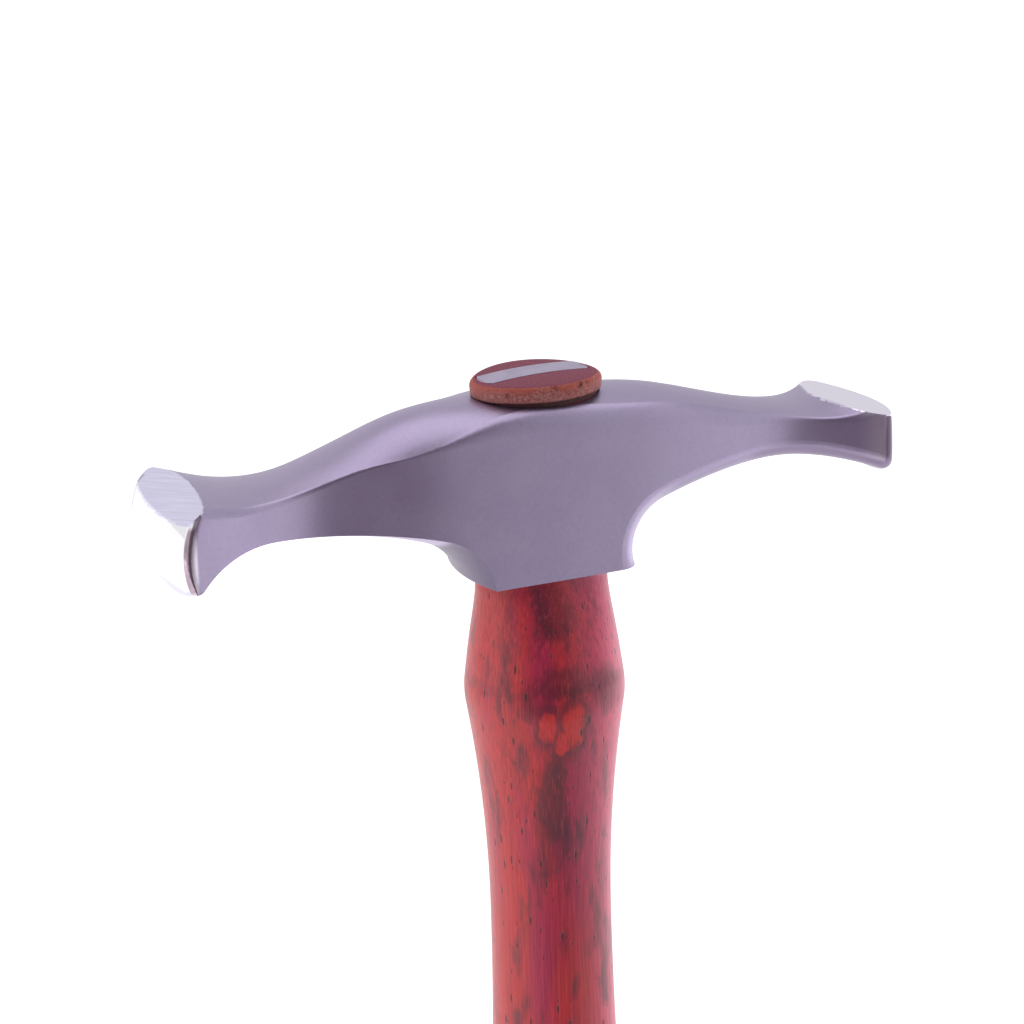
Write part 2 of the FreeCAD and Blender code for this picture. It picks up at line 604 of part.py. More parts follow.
# Handle, shaved neck: from the oval that enters the eye (0) down to the turned circle (1),
# as shares of the height, the length along the head and the width across it
NECK_SHARES = [(0.20, 0.10, 0.27), (0.42, 0.34, 0.55), (0.73, 0.72, 0.80)]
foot = ("-Sizes.seat_gap", "Sizes.eye_length + 2 * Sizes.neck_step",
        "Sizes.eye_width + 2 * Sizes.neck_step")
circle = ("2 * (Sizes.swell_width / 2 - Sizes.swell_round + sqrt(Sizes.swell_round ^ 2"
          " - (Sizes.swell_height - Sizes.shave_height) ^ 2))")
shaved = ("-Sizes.shave_height", circle, circle)
sections = [ellipse(handle, "neck_foot", *foot)]
for number, shares in enumerate(NECK_SHARES, start=1):
    rules = [between(one, other, share) for one, other, share in zip(foot, shaved, shares)]
    sections.append(ellipse(handle, f"neck_{number}", *rules))
sections.append(ellipse(handle, "neck_circle", *shaved))
loft(handle, "Additive", "shaved_neck", sections)

# Handle, tenon: follows the eye with a clearance, and spreads above the head where it is wedged
TENON_TOP = "(Sizes.body_height + Sizes.tenon_stand)"
sections = eye_ovals(handle, [("tenon_foot", "-Sizes.seat_gap", "0")] + EYE[1:4],
                     "Sizes.fit_clearance")
sections.append(oval(handle, "tenon_spread", f"{TENON_TOP} - Sizes.tenon_rim_height",
                     "-Sizes.tenon_spread"))
sections.append(oval(handle, "tenon_rim", TENON_TOP, "Sizes.tenon_rim_inset - Sizes.tenon_spread"))
loft(handle, "Additive", "tenon", sections, straight=True)
doc.recompute()


def dome(body):
    """Sands the end of the tenon and its wedge to one low bow along the head."""
    sketch = new_sketch(body, f"{body.Label}_dome_curve", "XZ_Plane")
    rule_text = "((Sizes.eye_length / 2) ^ 2 + Sizes.tenon_dome ^ 2) / (2 * Sizes.tenon_dome)"
    radius, top = value(rule_text), value(TENON_TOP)
    reach_rule = "Sizes.eye_length / 2 + Sizes.overrun"
    reach, above = value(reach_rule), top + value("Sizes.overrun")
    centre = (0, top - radius)
    edge = centre[1] + math.sqrt(radius ** 2 - reach ** 2)
    curve = arc(sketch, centre, (reach, edge), (-reach, edge))
    left_side = line(sketch, (-reach, edge), (-reach, above))
    over = line(sketch, (-reach, above), (reach, above))
    right_side = line(sketch, (reach, above), (reach, edge))
    rule(sketch, "Coincident", curve, END, left_side, START)
    rule(sketch, "Coincident", left_side, END, over, START)
    rule(sketch, "Coincident", over, END, right_side, START)
    rule(sketch, "Coincident", right_side, END, curve, START)
    rule(sketch, "Vertical", left_side)
    rule(sketch, "Vertical", right_side)
    rule(sketch, "Symmetric", over, START, over, END, VERTICAL)
    rule(sketch, "PointOnObject", curve, CENTRE, VERTICAL)
    size(sketch, "Radius", "curve", rule_text, curve)
    size(sketch, "DistanceY", "drop", f"{rule_text} - {TENON_TOP}", curve, CENTRE, HORIZONTAL, START)
    size(sketch, "DistanceY", "above", f"{TENON_TOP} + Sizes.overrun", HORIZONTAL, START, over, START)
    size(sketch, "DistanceX", "reach", f"2 * ({reach_rule})", over, START, over, END)
    cut = body.newObject("PartDesign::Pocket", f"{body.Label}_dome")
    cut.Profile = sketch
    cut.SideType = "Symmetric"
    cut.setExpression("Length", "Sizes.eye_width + 4 * Sizes.overrun")
    doc.recompute()
    return cut


def key_section(body, name, height, length, thickness):
    """Section of the wedge: two flat sides and two rounded ends, turned by the skew."""
    sketch = new_sketch(body, name, "XY_Plane", height)
    sketch.setExpression("AttachmentOffset.Base.y", "Sizes.wedge_offset")
    sketch.setExpression("AttachmentOffset.Rotation.Angle", "Sizes.wedge_skew * 1 deg")
    half, thick, radius = value(length) / 2, value(thickness) / 2, value("Sizes.wedge_end_round")
    side = half - radius + math.sqrt(radius ** 2 - thick ** 2)
    near = line(sketch, (-side, -thick), (side, -thick))
    right_end = arc(sketch, (half - radius, 0), (side, -thick), (side, thick))
    far = line(sketch, (side, thick), (-side, thick))
    left_end = arc(sketch, (radius - half, 0), (-side, thick), (-side, -thick))
    rule(sketch, "Coincident", near, END, right_end, START)
    rule(sketch, "Coincident", right_end, END, far, START)
    rule(sketch, "Coincident", far, END, left_end, START)
    rule(sketch, "Coincident", left_end, END, near, START)
    rule(sketch, "Symmetric", near, START, near, END, VERTICAL)
    rule(sketch, "Symmetric", near, START, far, END, HORIZONTAL)
    rule(sketch, "Symmetric", near, END, far, START, HORIZONTAL)
    size(sketch, "Radius", "end_round", "Sizes.wedge_end_round", right_end)
    rule(sketch, "Equal", right_end, left_end)
    size(sketch, "DistanceY", "thickness", thickness, near, END, far, START)
    side_rule = (f"({length}) - 2 * Sizes.wedge_end_round"
                 f" + 2 * sqrt(Sizes.wedge_end_round ^ 2 - ({thickness}) ^ 2 / 4)")
    size(sketch, "DistanceX", "side", side_rule, near, START, near, END)
    return sketch


def key_sections(body, play):
    """The wedge's sections above the tenon and at its tip, wider by a play all round."""
    wide = f" + 2 * {play}" if play else ""
    slope = "(Sizes.wedge_top - Sizes.wedge_tip) / Sizes.wedge_depth"
    taper = "(Sizes.wedge_length - Sizes.wedge_tip_length) / Sizes.wedge_depth"
    top = key_section(body, f"{body.Label}_key_top", f"{TENON_TOP} + Sizes.overrun",
                      f"Sizes.wedge_length + {taper} * Sizes.overrun{wide}",
                      f"Sizes.wedge_top + {slope} * Sizes.overrun{wide}")
    tip = key_section(body, f"{body.Label}_key_tip",
                      f"{TENON_TOP} - Sizes.wedge_depth{' - ' + play if play else ''}",
                      f"Sizes.wedge_tip_length{wide}", f"Sizes.wedge_tip{wide}")
    return [top, tip]


dome(handle)
loft(handle, "Subtractive", "kerf", key_sections(handle, "Sizes.fit_clearance"), straight=True)

wedge = new_body("wedge")
loft(wedge, "Additive", "key", key_sections(wedge, ""), straight=True)
doc.recompute()
dome(wedge)
doc.recompute()

PARTS = [head, handle, wedge]
for part in PARTS:
    for item in part.Group:
        if "Invalid" in item.State or "Error" in item.State:
            raise RuntimeError(f"{part.Label}: {item.Name} is {item.State}")
    if part.Shape.isNull() or not part.Shape.isValid() or len(part.Shape.Solids) != 1:
        raise RuntimeError(f"{part.Label} has no sound single solid")

os.makedirs("parts", exist_ok=True)
for part in PARTS:
    part.Shape.exportStep(f"parts/{part.Label}.step")
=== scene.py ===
# %% [markdown]
# # A raising hammer
#
# A raising hammer shapes sheet metal: a steel head with two broad, smooth faces sits on a turned
# hardwood handle, and a steel wedge spreads the wood in the head's eye. The solids come from the
# CAD model, which is the fixed frame here. This lesson gives them their finishes, and models again,
# with more detail, the two pieces that need it: the handle and the wedge. The head keeps the mesh
# of the CAD model, whose sculpted shape is already as fine as the picture can show.

# %% The fixed frame
import json
import math
import bmesh
import bpy
import numpy as np
from mathutils import Matrix, Vector

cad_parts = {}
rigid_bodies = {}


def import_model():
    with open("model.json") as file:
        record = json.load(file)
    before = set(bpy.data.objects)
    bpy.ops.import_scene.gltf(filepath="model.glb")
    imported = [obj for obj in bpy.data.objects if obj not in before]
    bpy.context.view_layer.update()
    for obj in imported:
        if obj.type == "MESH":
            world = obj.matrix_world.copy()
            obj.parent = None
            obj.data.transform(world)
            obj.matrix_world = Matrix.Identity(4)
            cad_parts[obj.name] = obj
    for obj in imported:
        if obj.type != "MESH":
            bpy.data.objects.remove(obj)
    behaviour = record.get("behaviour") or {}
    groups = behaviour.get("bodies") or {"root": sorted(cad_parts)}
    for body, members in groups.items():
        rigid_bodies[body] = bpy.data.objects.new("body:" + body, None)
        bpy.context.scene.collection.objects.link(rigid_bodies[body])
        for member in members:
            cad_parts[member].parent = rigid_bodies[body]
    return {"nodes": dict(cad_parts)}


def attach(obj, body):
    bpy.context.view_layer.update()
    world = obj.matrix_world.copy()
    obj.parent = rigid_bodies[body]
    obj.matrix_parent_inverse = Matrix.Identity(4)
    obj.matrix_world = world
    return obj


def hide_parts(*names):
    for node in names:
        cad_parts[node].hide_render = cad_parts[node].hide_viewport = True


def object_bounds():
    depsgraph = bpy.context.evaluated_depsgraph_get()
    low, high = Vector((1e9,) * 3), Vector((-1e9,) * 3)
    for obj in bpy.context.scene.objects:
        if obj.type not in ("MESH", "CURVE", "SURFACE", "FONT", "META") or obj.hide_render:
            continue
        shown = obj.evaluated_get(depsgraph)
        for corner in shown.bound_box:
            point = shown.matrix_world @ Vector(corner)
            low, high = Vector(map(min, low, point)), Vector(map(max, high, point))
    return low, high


for item in list(bpy.data.objects):
    bpy.data.objects.remove(item)
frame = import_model()
cad_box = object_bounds()
print("CAD nodes:", sorted(frame["nodes"]))
print("CAD box in mm:", [[round(1000 * x, 2) for x in corner] for corner in cad_box])

MM = 0.001


def linear(code):
    """An sRGB colour such as "#a39ab4" as the linear red, green, blue and alpha that shaders take."""
    parts = [int(code[i:i + 2], 16) / 255 for i in (1, 3, 5)]
    return tuple(p / 12.92 if p <= 0.04045 else ((p + 0.055) / 1.055) ** 2.4 for p in parts) + (1.0,)


# %% [markdown]
# ## The camera
# The photograph looks down on the head by 17 degrees, from its near left side, with a long lens
# that hardly narrows the far end. A camera can be aimed with a constraint or by angles. It is
# placed by its matrix here, because the three axes say directly what is right, up and forward in
# the picture. The picture was also tipped by almost two degrees, so the camera rolls by as much.

# %% Camera
AZIMUTH, ELEVATION, ROLL = math.radians(23.41), math.radians(17.24), math.radians(1.83)
DISTANCE, SIDEWAYS, UPWARDS = 441.6 * MM, 4.013 * MM, -7.517 * MM
SENSOR, FOCAL_PIXELS, PICTURE_PIXELS = 36, 3000, 1024

right = Vector((math.cos(AZIMUTH), -math.sin(AZIMUTH), 0))
ahead = Vector((math.sin(AZIMUTH) * math.cos(ELEVATION), math.cos(AZIMUTH) * math.cos(ELEVATION),
                -math.sin(ELEVATION)))
upright = right.cross(ahead)
place = -SIDEWAYS * right - UPWARDS * upright - DISTANCE * ahead
tipped_right = math.cos(ROLL) * right - math.sin(ROLL) * upright
tipped_up = math.sin(ROLL) * right + math.cos(ROLL) * upright

lens = bpy.data.cameras.new("Camera")
lens.sensor_width = SENSOR
lens.lens = SENSOR * FOCAL_PIXELS / PICTURE_PIXELS
lens.clip_start, lens.clip_end = 0.01, 20
camera = bpy.data.objects.new("Camera", lens)
bpy.context.scene.collection.objects.link(camera)
camera.matrix_world = Matrix((
    (tipped_right.x, tipped_up.x, -ahead.x, place.x),
    (tipped_right.y, tipped_up.y, -ahead.y, place.y),
    (tipped_right.z, tipped_up.z, -ahead.z, place.z),
    (0, 0, 0, 1)))
bpy.context.scene.camera = camera
print("camera at", [round(x, 3) for x in place], "lens", round(lens.lens, 1), "mm")


# %% [markdown]
# ## Nodes
# A material is a tree of small nodes. The editor draws them as boxes and lines. In a script, one
# function adds a node, sets what it needs and joins its inputs, so that each finish below reads as
# a list of steps.

# %% Adding a node
SMOOTH = {"interpolation_type": "SMOOTHSTEP"}


def node(tree, kind, *values, **named):
    """Adds a node and gives back its first output in use. Values go to its inputs in their order. A
    name is a setting of the node, such as operation, or else one of its inputs, with _ for a space.
    A value is a number or colour, or the output of another node, which is then joined."""
    made = tree.nodes.new("ShaderNode" + kind)
    wanted = {}
    for name, given in named.items():
        if hasattr(made, name):
            setattr(made, name, given)
        else:
            wanted[name.replace("_", " ")] = given
    ready = [socket for socket in made.inputs if socket.enabled]
    by_name = {socket.name: socket for socket in reversed(ready)}
    pairs = [*zip(ready, values), *((by_name[name], given) for name, given in wanted.items())]
    for socket, given in pairs:
        if isinstance(given, bpy.types.NodeSocket):
            tree.links.new(given, socket)
        else:
            socket.default_value = given
    return next((socket for socket in made.outputs if socket.enabled), made)


def new_material(name):
    """A material with an empty tree."""
    material = bpy.data.materials.new(name)
    material.use_nodes = True
    material.node_tree.nodes.clear()
    return material, material.node_tree


print("sRGB #808080 is linear", round(linear("#808080")[0], 3))

# %% [markdown]
# ## The table
# The hammer stands on its butt on a pale table that runs away behind it into white. A curved paper
# sweep would do that too, but a flat sheet that starts just in front of the hammer is enough. It
# glows a little where the camera or the steel sees it, so that it melts into the backdrop, while
# the light on the hammer stays the same and the shadow stays on the sheet.

# %% Table
TABLE_FRONT, TABLE_BACK, TABLE_HALF, TABLE_GLOW = -0.26, 4.0, 2.2, 0.62
half_depth, middle = (TABLE_BACK - TABLE_FRONT) / 2, (TABLE_BACK + TABLE_FRONT) / 2
table_shape = bmesh.new()
bmesh.ops.create_grid(table_shape, x_segments=1, y_segments=1, size=1)
bmesh.ops.scale(table_shape, vec=(TABLE_HALF, half_depth, 1), verts=table_shape.verts)
bmesh.ops.translate(table_shape, vec=(0, middle, cad_box[0].z), verts=table_shape.verts)
table_mesh = bpy.data.meshes.new("table")
table_shape.to_mesh(table_mesh)
table_shape.free()
table = bpy.data.objects.new("table", table_mesh)
bpy.context.scene.collection.objects.link(table)

# Matt white paper: hardly any gloss, and one even tone.
paper, tree = new_material("white_backdrop_paper")
ray = node(tree, "LightPath").node.outputs
mirrored = node(tree, "Math", ray["Is Camera Ray"], ray["Is Glossy Ray"], operation="MAXIMUM")
in_view = node(tree, "Math", mirrored, ray["Is Transmission Ray"], operation="MAXIMUM")
glow = node(tree, "Math", in_view, TABLE_GLOW, operation="MULTIPLY")
surface = node(tree, "BsdfPrincipled", Base_Color=linear("#e9e9ea"), Roughness=0.9,
               Specular_IOR_Level=0.1, Emission_Color=linear("#ffffff"), Emission_Strength=glow)
node(tree, "OutputMaterial", Surface=surface)
table_mesh.materials.append(paper)
print("table", 2 * TABLE_HALF, "m wide")

# %% [markdown]
# ## The surround
# Steel shows what stands round it, so the surround matters more than the lamps. A picture of a
# studio could be wrapped round the scene. A few ramps over the direction do as well here, and each
# stays easy to change: white behind, white walls on both sides, a dimmer ceiling, and a dim room in
# front, which draws the dark side of the steel and of the handle. The camera itself sees white.

# %% Surround
FRONT_LEVEL, BACK_LEVEL, LEFT_LEVEL, RIGHT_LEVEL = 0.22, 0.82, 0.9, 0.95
world = bpy.data.worlds.new("studio")
bpy.context.scene.world = world
world.use_nodes = True
tree = world.node_tree
tree.nodes.clear()
way = node(tree, "SeparateXYZ", node(tree, "TexCoord")).node.outputs

back = node(tree, "MapRange", way["Y"], -0.3, 0.4, FRONT_LEVEL, BACK_LEVEL, **SMOOTH)
ceiling = node(tree, "MapRange", way["Z"], 0.40, 0.75, 1.0, 0.5, **SMOOTH)
back = node(tree, "Math", back, ceiling, operation="MULTIPLY")
to_right = node(tree, "MapRange", way["X"], 0.22, 0.50, 1.0, 0.88, **SMOOTH)
back = node(tree, "Math", back, to_right, operation="MULTIPLY")

right_wall = node(tree, "MapRange", way["X"], 0.08, 0.62, 0.0, RIGHT_LEVEL, **SMOOTH)
for axis, low, high, last in (("Y", -0.1, 0.6, 0.6), ("X", 0.62, 0.90, 0.75)):
    dimmer = node(tree, "MapRange", way[axis], low, high, 1.0, last)
    right_wall = node(tree, "Math", right_wall, dimmer, operation="MULTIPLY")
left_wall = node(tree, "MapRange", way["X"], -0.35, -0.75, 0.0, LEFT_LEVEL, **SMOOTH)
wall_end = node(tree, "MapRange", way["Y"], -0.75, -0.45)
left_wall = node(tree, "Math", left_wall, wall_end, operation="MULTIPLY")
walls = node(tree, "Math", left_wall, right_wall, operation="MAXIMUM")
brightness = node(tree, "Math", back, walls, operation="MAXIMUM")

how_white = node(tree, "MapRange", brightness, FRONT_LEVEL, 0.55)
tint = node(tree, "Mix", data_type="RGBA", Factor=how_white, A=linear("#ffecf8"), B=linear("#ffffff"))
ray = node(tree, "LightPath").node.outputs
seen = node(tree, "Math", brightness, ray["Is Camera Ray"], operation="MAXIMUM")
white = node(tree, "Mix", data_type="RGBA", Factor=ray["Is Camera Ray"], A=tint, B=linear("#ffffff"))
sky = node(tree, "Background", Color=white, Strength=seen)
node(tree, "OutputWorld", Surface=sky)
print("surround:", FRONT_LEVEL, "in front,", BACK_LEVEL, "behind")


# %% [markdown]
# ## Soft boxes
# Four square lamps add a plain, soft light from above and from the sides. The three fill lamps are
# kept out of the steel's reflections, where they would draw bright patches on its shoulders.

# %% Lamps
def soft_box(name, place, aim, size, watts):
    """A square area lamp that points from its place to a point."""
    lamp = bpy.data.lights.new(name, "AREA")
    lamp.shape = "SQUARE"
    lamp.size = size
    lamp.energy = watts
    box = bpy.data.objects.new(name, lamp)
    bpy.context.scene.collection.objects.link(box)
    box.location = place
    box.rotation_euler = (Vector(aim) - Vector(place)).to_track_quat("-Z", "Y").to_euler()
    print(name, watts, "W")
    return box


FILLS = [("front_box", (-0.15, -0.70, 0.75), 1.3), ("left_box", (-1.0, 0.15, 0.05), 3.2),
         ("right_box", (1.0, 0.10, 0.05), 5.5)]
soft_box("overhead_box", (0.1, 0.25, 0.95), (0, 0, 0), 0.9, 2.5)
for name, place, watts in FILLS:
    fill = soft_box(name, place, (0, 0, -0.05), 0.6, watts)
    fill.visible_glossy = False


# %% [markdown]
# ## Blasted and polished steel
# The head is forged tool steel. Fine glass beads have blasted its sides to an even satin, and then
# the two faces and the small flats above them were ground and polished. Two materials on picked
# faces would do, but their border would run in steps along the triangles. One material does both
# here: it measures where a point lies in the head, and lowers the roughness on the polished places.
# Its patterns are laid out in real millimetres.

# %% Patterns of a real size
X, Y, Z, LEFT = (1, 0, 0), (0, 1, 0), (0, 0, 1), (-1, 0, 0)


def grain(tree, size, detail=2, roughness=0.5, turn=(0, 0, 0)):
    """A cloudy pattern from 0 to 1 whose lumps have a length, depth and height in millimetres."""
    spot = node(tree, "TexCoord").node.outputs["Object"]
    laid = node(tree, "Mapping", spot, vector_type="TEXTURE", Rotation=turn,
                Scale=[x * MM for x in size])
    return node(tree, "TexNoise", laid, Scale=1, Detail=detail, Roughness=roughness)


def along(tree, axis, origin=(0, 0, 0)):
    """How many millimetres a point lies from an origin along an axis."""
    spot = node(tree, "TexCoord").node.outputs["Object"]
    moved = node(tree, "VectorMath", spot, [x * MM for x in origin], operation="SUBTRACT")
    return node(tree, "VectorMath", moved, [x / MM for x in axis], operation="DOT_PRODUCT")


def within(tree, value, low, high, soft):
    """1 while a value is between two limits, with soft edges."""
    above = node(tree, "MapRange", value, low - soft, low + soft, 0, 1, **SMOOTH)
    below = node(tree, "MapRange", value, high - soft, high + soft, 1, 0, **SMOOTH)
    return node(tree, "Math", above, below, operation="MULTIPLY")


def region(tree, *limits):
    """1 inside a block. Each limit is an axis, its two ends and the softness of its edges, in mm."""
    inside = None
    for axis, low, high, soft in limits:
        part = within(tree, along(tree, axis), low, high, soft)
        inside = part if inside is None else node(tree, "Math", inside, part, operation="MULTIPLY")
    return inside


head = frame["nodes"]["head"]
print("patterns in mm over a head of", [round(x / MM, 1) for x in head.dimensions], "mm")

# %% [markdown]
# ## Ground flats and striking faces
# The flats were ground with the stone across the head, and its strokes leave a ragged edge. A point
# belongs to a flat when it lies close to the flat's plane, and the strokes decide how close. The
# striking faces are parts of drums: the left one is round in height, the right one across. A point
# belongs to a face when it lies nearly as far from the drum's axis as the face does.

# %% Flats
LEFT_FLAT_REACH, LEFT_FLAT_Z, LEFT_FLAT_ANGLE = 56.4, 18.4, 40
RIGHT_FLAT_REACH, RIGHT_FLAT_Z, RIGHT_FLAT_ANGLE = 51.4, 18.1, 10
FLAT_START, STROKE_WIDTH, STROKE_LENGTH, STROKE_TURN = 40.5, 0.22, 9.0, 16.7


def on_flat(tree, turn, reach, height, angle, ragged):
    """1 on the flat ground on the top corner of one end, with a ragged edge."""
    slope = math.radians(angle)
    off = along(tree, (turn * math.sin(slope), 0, math.cos(slope)), (turn * reach, 0, height))
    off = node(tree, "Math", off, operation="ABSOLUTE")
    off = node(tree, "Math", off, ragged, operation="SUBTRACT")
    near = node(tree, "MapRange", off, 0.10, 0.04, 0, 1, **SMOOTH)
    return node(tree, "Math", near, region(tree, ((turn, 0, 0), FLAT_START, 80, 0.5)),
                operation="MULTIPLY")


head_steel, tree = new_material("blasted_and_polished_tool_steel")
slope = math.radians(LEFT_FLAT_ANGLE)
flat_normal = Vector((-math.sin(slope), 0, math.cos(slope)))
stroke_turn = Matrix.Rotation(math.radians(STROKE_TURN), 3, flat_normal).to_euler()
strokes = grain(tree, (STROKE_WIDTH, STROKE_LENGTH, STROKE_WIDTH), 2, 0.5, stroke_turn)
ragged = node(tree, "MapRange", strokes, 0.40, 0.70, 0.0, 0.30)
left_flat = on_flat(tree, -1, LEFT_FLAT_REACH, LEFT_FLAT_Z, LEFT_FLAT_ANGLE, ragged)
right_flat = on_flat(tree, 1, RIGHT_FLAT_REACH, RIGHT_FLAT_Z, RIGHT_FLAT_ANGLE, ragged)
flats = node(tree, "Math", left_flat, right_flat, operation="MAXIMUM")
print("flats at", -LEFT_FLAT_REACH, "and", RIGHT_FLAT_REACH, "mm")

# %% Faces
LEFT_REACH, LEFT_DRUM, LEFT_DRUM_Z = 58.8, 14.0, 12.4
RIGHT_REACH, RIGHT_DRUM = 56.2, 21.2


def from_axis(tree, turn, to_axis, side):
    """Distance in millimetres from the axis of the drum of which a striking face is a part."""
    out = along(tree, (turn, 0, 0), (turn * to_axis, 0, 0))
    out = node(tree, "Math", out, 0, operation="MAXIMUM")
    side = node(tree, "Math", side, operation="ABSOLUTE")
    squares = [node(tree, "Math", part, 2, operation="POWER") for part in (out, side)]
    return node(tree, "Math", node(tree, "Math", *squares, operation="ADD"), operation="SQRT")


height, across = along(tree, Z), along(tree, Y)
left_away = from_axis(tree, -1, LEFT_REACH - LEFT_DRUM, along(tree, Z, (0, 0, LEFT_DRUM_Z)))
right_away = from_axis(tree, 1, RIGHT_REACH - RIGHT_DRUM, across)
left_face = node(tree, "Math", within(tree, left_away, 12.5, 99, 0.06),
                 within(tree, height, -9, 18.8, 0.2), operation="MULTIPLY")
right_face = node(tree, "Math", within(tree, right_away, 19.75, 99, 0.10),
                  within(tree, across, -8.6, 99, 0.2), operation="MULTIPLY")
faces = node(tree, "Math", left_face, right_face, operation="MAXIMUM")
beside_flats = node(tree, "Math", 1, flats, operation="SUBTRACT")
faces = node(tree, "Math", faces, beside_flats, operation="MULTIPLY")
polished = node(tree, "Math", flats, faces, operation="MAXIMUM")
print("faces at", -LEFT_REACH, "and", RIGHT_REACH, "mm")

# %% [markdown]
# ## Colour of the steel
# Blasted steel is a soft grey, here with a touch of lavender, faintly cloudy and speckled. Over it
# painted shade darkens the undersides of the arms and the inner wall of the boss, painted light
# lightens the near end of the right arm and the near edge of the left face, and a dark painted
# reflection lines the right end. The tones could be painted by hand on an unfolded surface. They are
# laid over the satin one by one instead, each in its own block of the head.

# %% Satin
# Bead-blasted steel gives the eye a broad, soft sheen without any mirror image.
cloud = grain(tree, (9, 9, 9), 3)
speckle = grain(tree, (0.5, 0.5, 0.5), 3, 0.7)
satin = node(tree, "Mix", data_type="RGBA", Factor=node(tree, "MapRange", cloud, 0.35, 0.65),
             A=linear("#b1a4c4"), B=linear("#b6aac8"))
specks = node(tree, "MapRange", speckle, 0.40, 0.75, 0.0, 0.22)
facing = node(tree, "SeparateXYZ", node(tree, "TexCoord").node.outputs["Normal"]).node.outputs
under = node(tree, "MapRange", facing["Z"], -0.05, -0.50, 0, 1, **SMOOTH)
inward = node(tree, "MapRange", facing["X"], -0.5, -0.8, 0, 1, **SMOOTH)

tones = [(specks, "#9084a2"),
         # Painted light and shade: the first block lightens the near end of the right arm, and the
         # second draws a dark painted reflection along its end edge.
         (region(tree, (X, 49.5, 60, 2), (Y, -14, -8, 0.5)), "#cdbfd4"),
         (region(tree, (X, 51.65, 60, 0.15), (Y, -14, -8.4, 0.3)), "#7a6c80")]
# Painted shade: darker tones on the undersides of the arms, growing darker towards the right end, and
# on the boss's inner wall that faces left.
for toward, limits, shade in ((under, (X, 9, 17, 2), "#b3aabf"), (under, (X, 17, 31, 3), "#978ea5"),
                              (under, (X, 31, 60, 3), "#897d95"), (under, (X, -18, -8, 1), "#6c6278"),
                              (inward, (X, -18, -8, 1), "#6c6278")):
    shaded = node(tree, "Math", toward, region(tree, limits), operation="MULTIPLY")
    tones.append((shaded, shade))
# Painted highlight: a near-white line along the near edge of the left face.
tones.append((region(tree, (LEFT, 56.4, 60, 0.3), (Y, -14, -12.0, 0.3)), "#f6f0ff"))
for where, shade in tones:
    satin = node(tree, "Mix", data_type="RGBA", Factor=where, A=satin, B=linear(shade))
print(len(tones), "tones over the satin")

# %% Ground and polished colours
# Ground flats keep fine strokes; the polished faces mirror the white studio.
ground = node(tree, "Mix", data_type="RGBA", Factor=node(tree, "MapRange", strokes, 0.3, 0.7),
              A=linear("#dad5f1"), B=linear("#e7e2fb"))
# Painted light: the right flat gets a lighter copy of the ground colour than the left one.
ground = node(tree, "Mix", data_type="RGBA", Factor=region(tree, (X, 40, 60, 1)), A=ground,
              B=linear("#f2ebff"))
# Painted shade: the rim of the left face, where it turns down or back, is given a darker lavender.
turned_down = node(tree, "MapRange", facing["Z"], -0.24, -0.38, 0, 1, **SMOOTH)
turned_back = node(tree, "MapRange", facing["Y"], 0.11, 0.25, 0, 1, **SMOOTH)
far_rim = node(tree, "MapRange", across, 11.10, 11.40, 0, 1, **SMOOTH)
rim = node(tree, "Math", turned_back, far_rim, operation="MAXIMUM")
rim = node(tree, "Math", turned_down, rim, operation="MAXIMUM")
rim = node(tree, "Math", left_face, rim, operation="MULTIPLY")

# Painted reflection: a dark strip along the near edge of the left face, from grey brown to pale
# violet.
painted_reflection = node(tree, "Mix", data_type="RGBA", Factor=grain(tree, (0.5, 0.5, 3.0)),
             A=linear("#8a7480"), B=linear("#c6b4c4"))
near_edge = region(tree, (Y, -14, -11.95, 0.10), (LEFT, 0, 90, 1), (Z, 8.0, 17.4, 0.5))
near_edge = node(tree, "Math", faces, near_edge, operation="MULTIPLY")
colour = satin
for where, shade in ((flats, ground), (faces, linear("#fbfaff")), (rim, linear("#bfbad4")),
                     (near_edge, painted_reflection)):
    colour = node(tree, "Mix", data_type="RGBA", Factor=where, A=colour, B=shade)
print("steel coloured")

# %% [markdown]
# ## Gloss and relief of the steel
# Roughness makes the difference between satin and polish: near 0.4 the reflections melt into a
# sheen, at 0.07 the faces are mirrors. The beads leave a fine relief and a few pits stay from the
# forging. Both are too small to model, so a bump bends the light as they would.

# %% Roughness and relief
SATIN_ROUGHNESS, FLAT_ROUGHNESS, FACE_ROUGHNESS = (0.36, 0.41), 0.22, 0.07
BEAD_SIZE, PIT_SPACING, RELIEF = 0.45, 8, 0.05
rough = node(tree, "MapRange", cloud, 0.3, 0.7, *SATIN_ROUGHNESS)
rough = node(tree, "Mix", data_type="FLOAT", Factor=flats, A=rough, B=FLAT_ROUGHNESS)
rough = node(tree, "Mix", data_type="FLOAT", Factor=faces, A=rough, B=FACE_ROUGHNESS)

# Real beads are 0.1 mm wide; they are drawn coarser here, or the picture wouldn't show them.
beads = grain(tree, (BEAD_SIZE, BEAD_SIZE, BEAD_SIZE))
spot = node(tree, "TexCoord").node.outputs["Object"]
laid = node(tree, "Mapping", spot, vector_type="TEXTURE", Scale=[PIT_SPACING * MM] * 3)
cells = node(tree, "TexVoronoi", laid, Scale=1)
pits = node(tree, "MapRange", cells, 0.010, 0.026, 1, 0, **SMOOTH)
relief = node(tree, "Math", beads, pits, operation="SUBTRACT")
stroke_relief = node(tree, "Math", strokes, 0.12, operation="MULTIPLY")
relief = node(tree, "Mix", data_type="FLOAT", Factor=flats, A=relief, B=stroke_relief)
relief = node(tree, "Mix", data_type="FLOAT", Factor=faces, A=relief, B=0.5)
bump = node(tree, "Bump", Strength=0.15, Distance=RELIEF * MM, Height=relief)

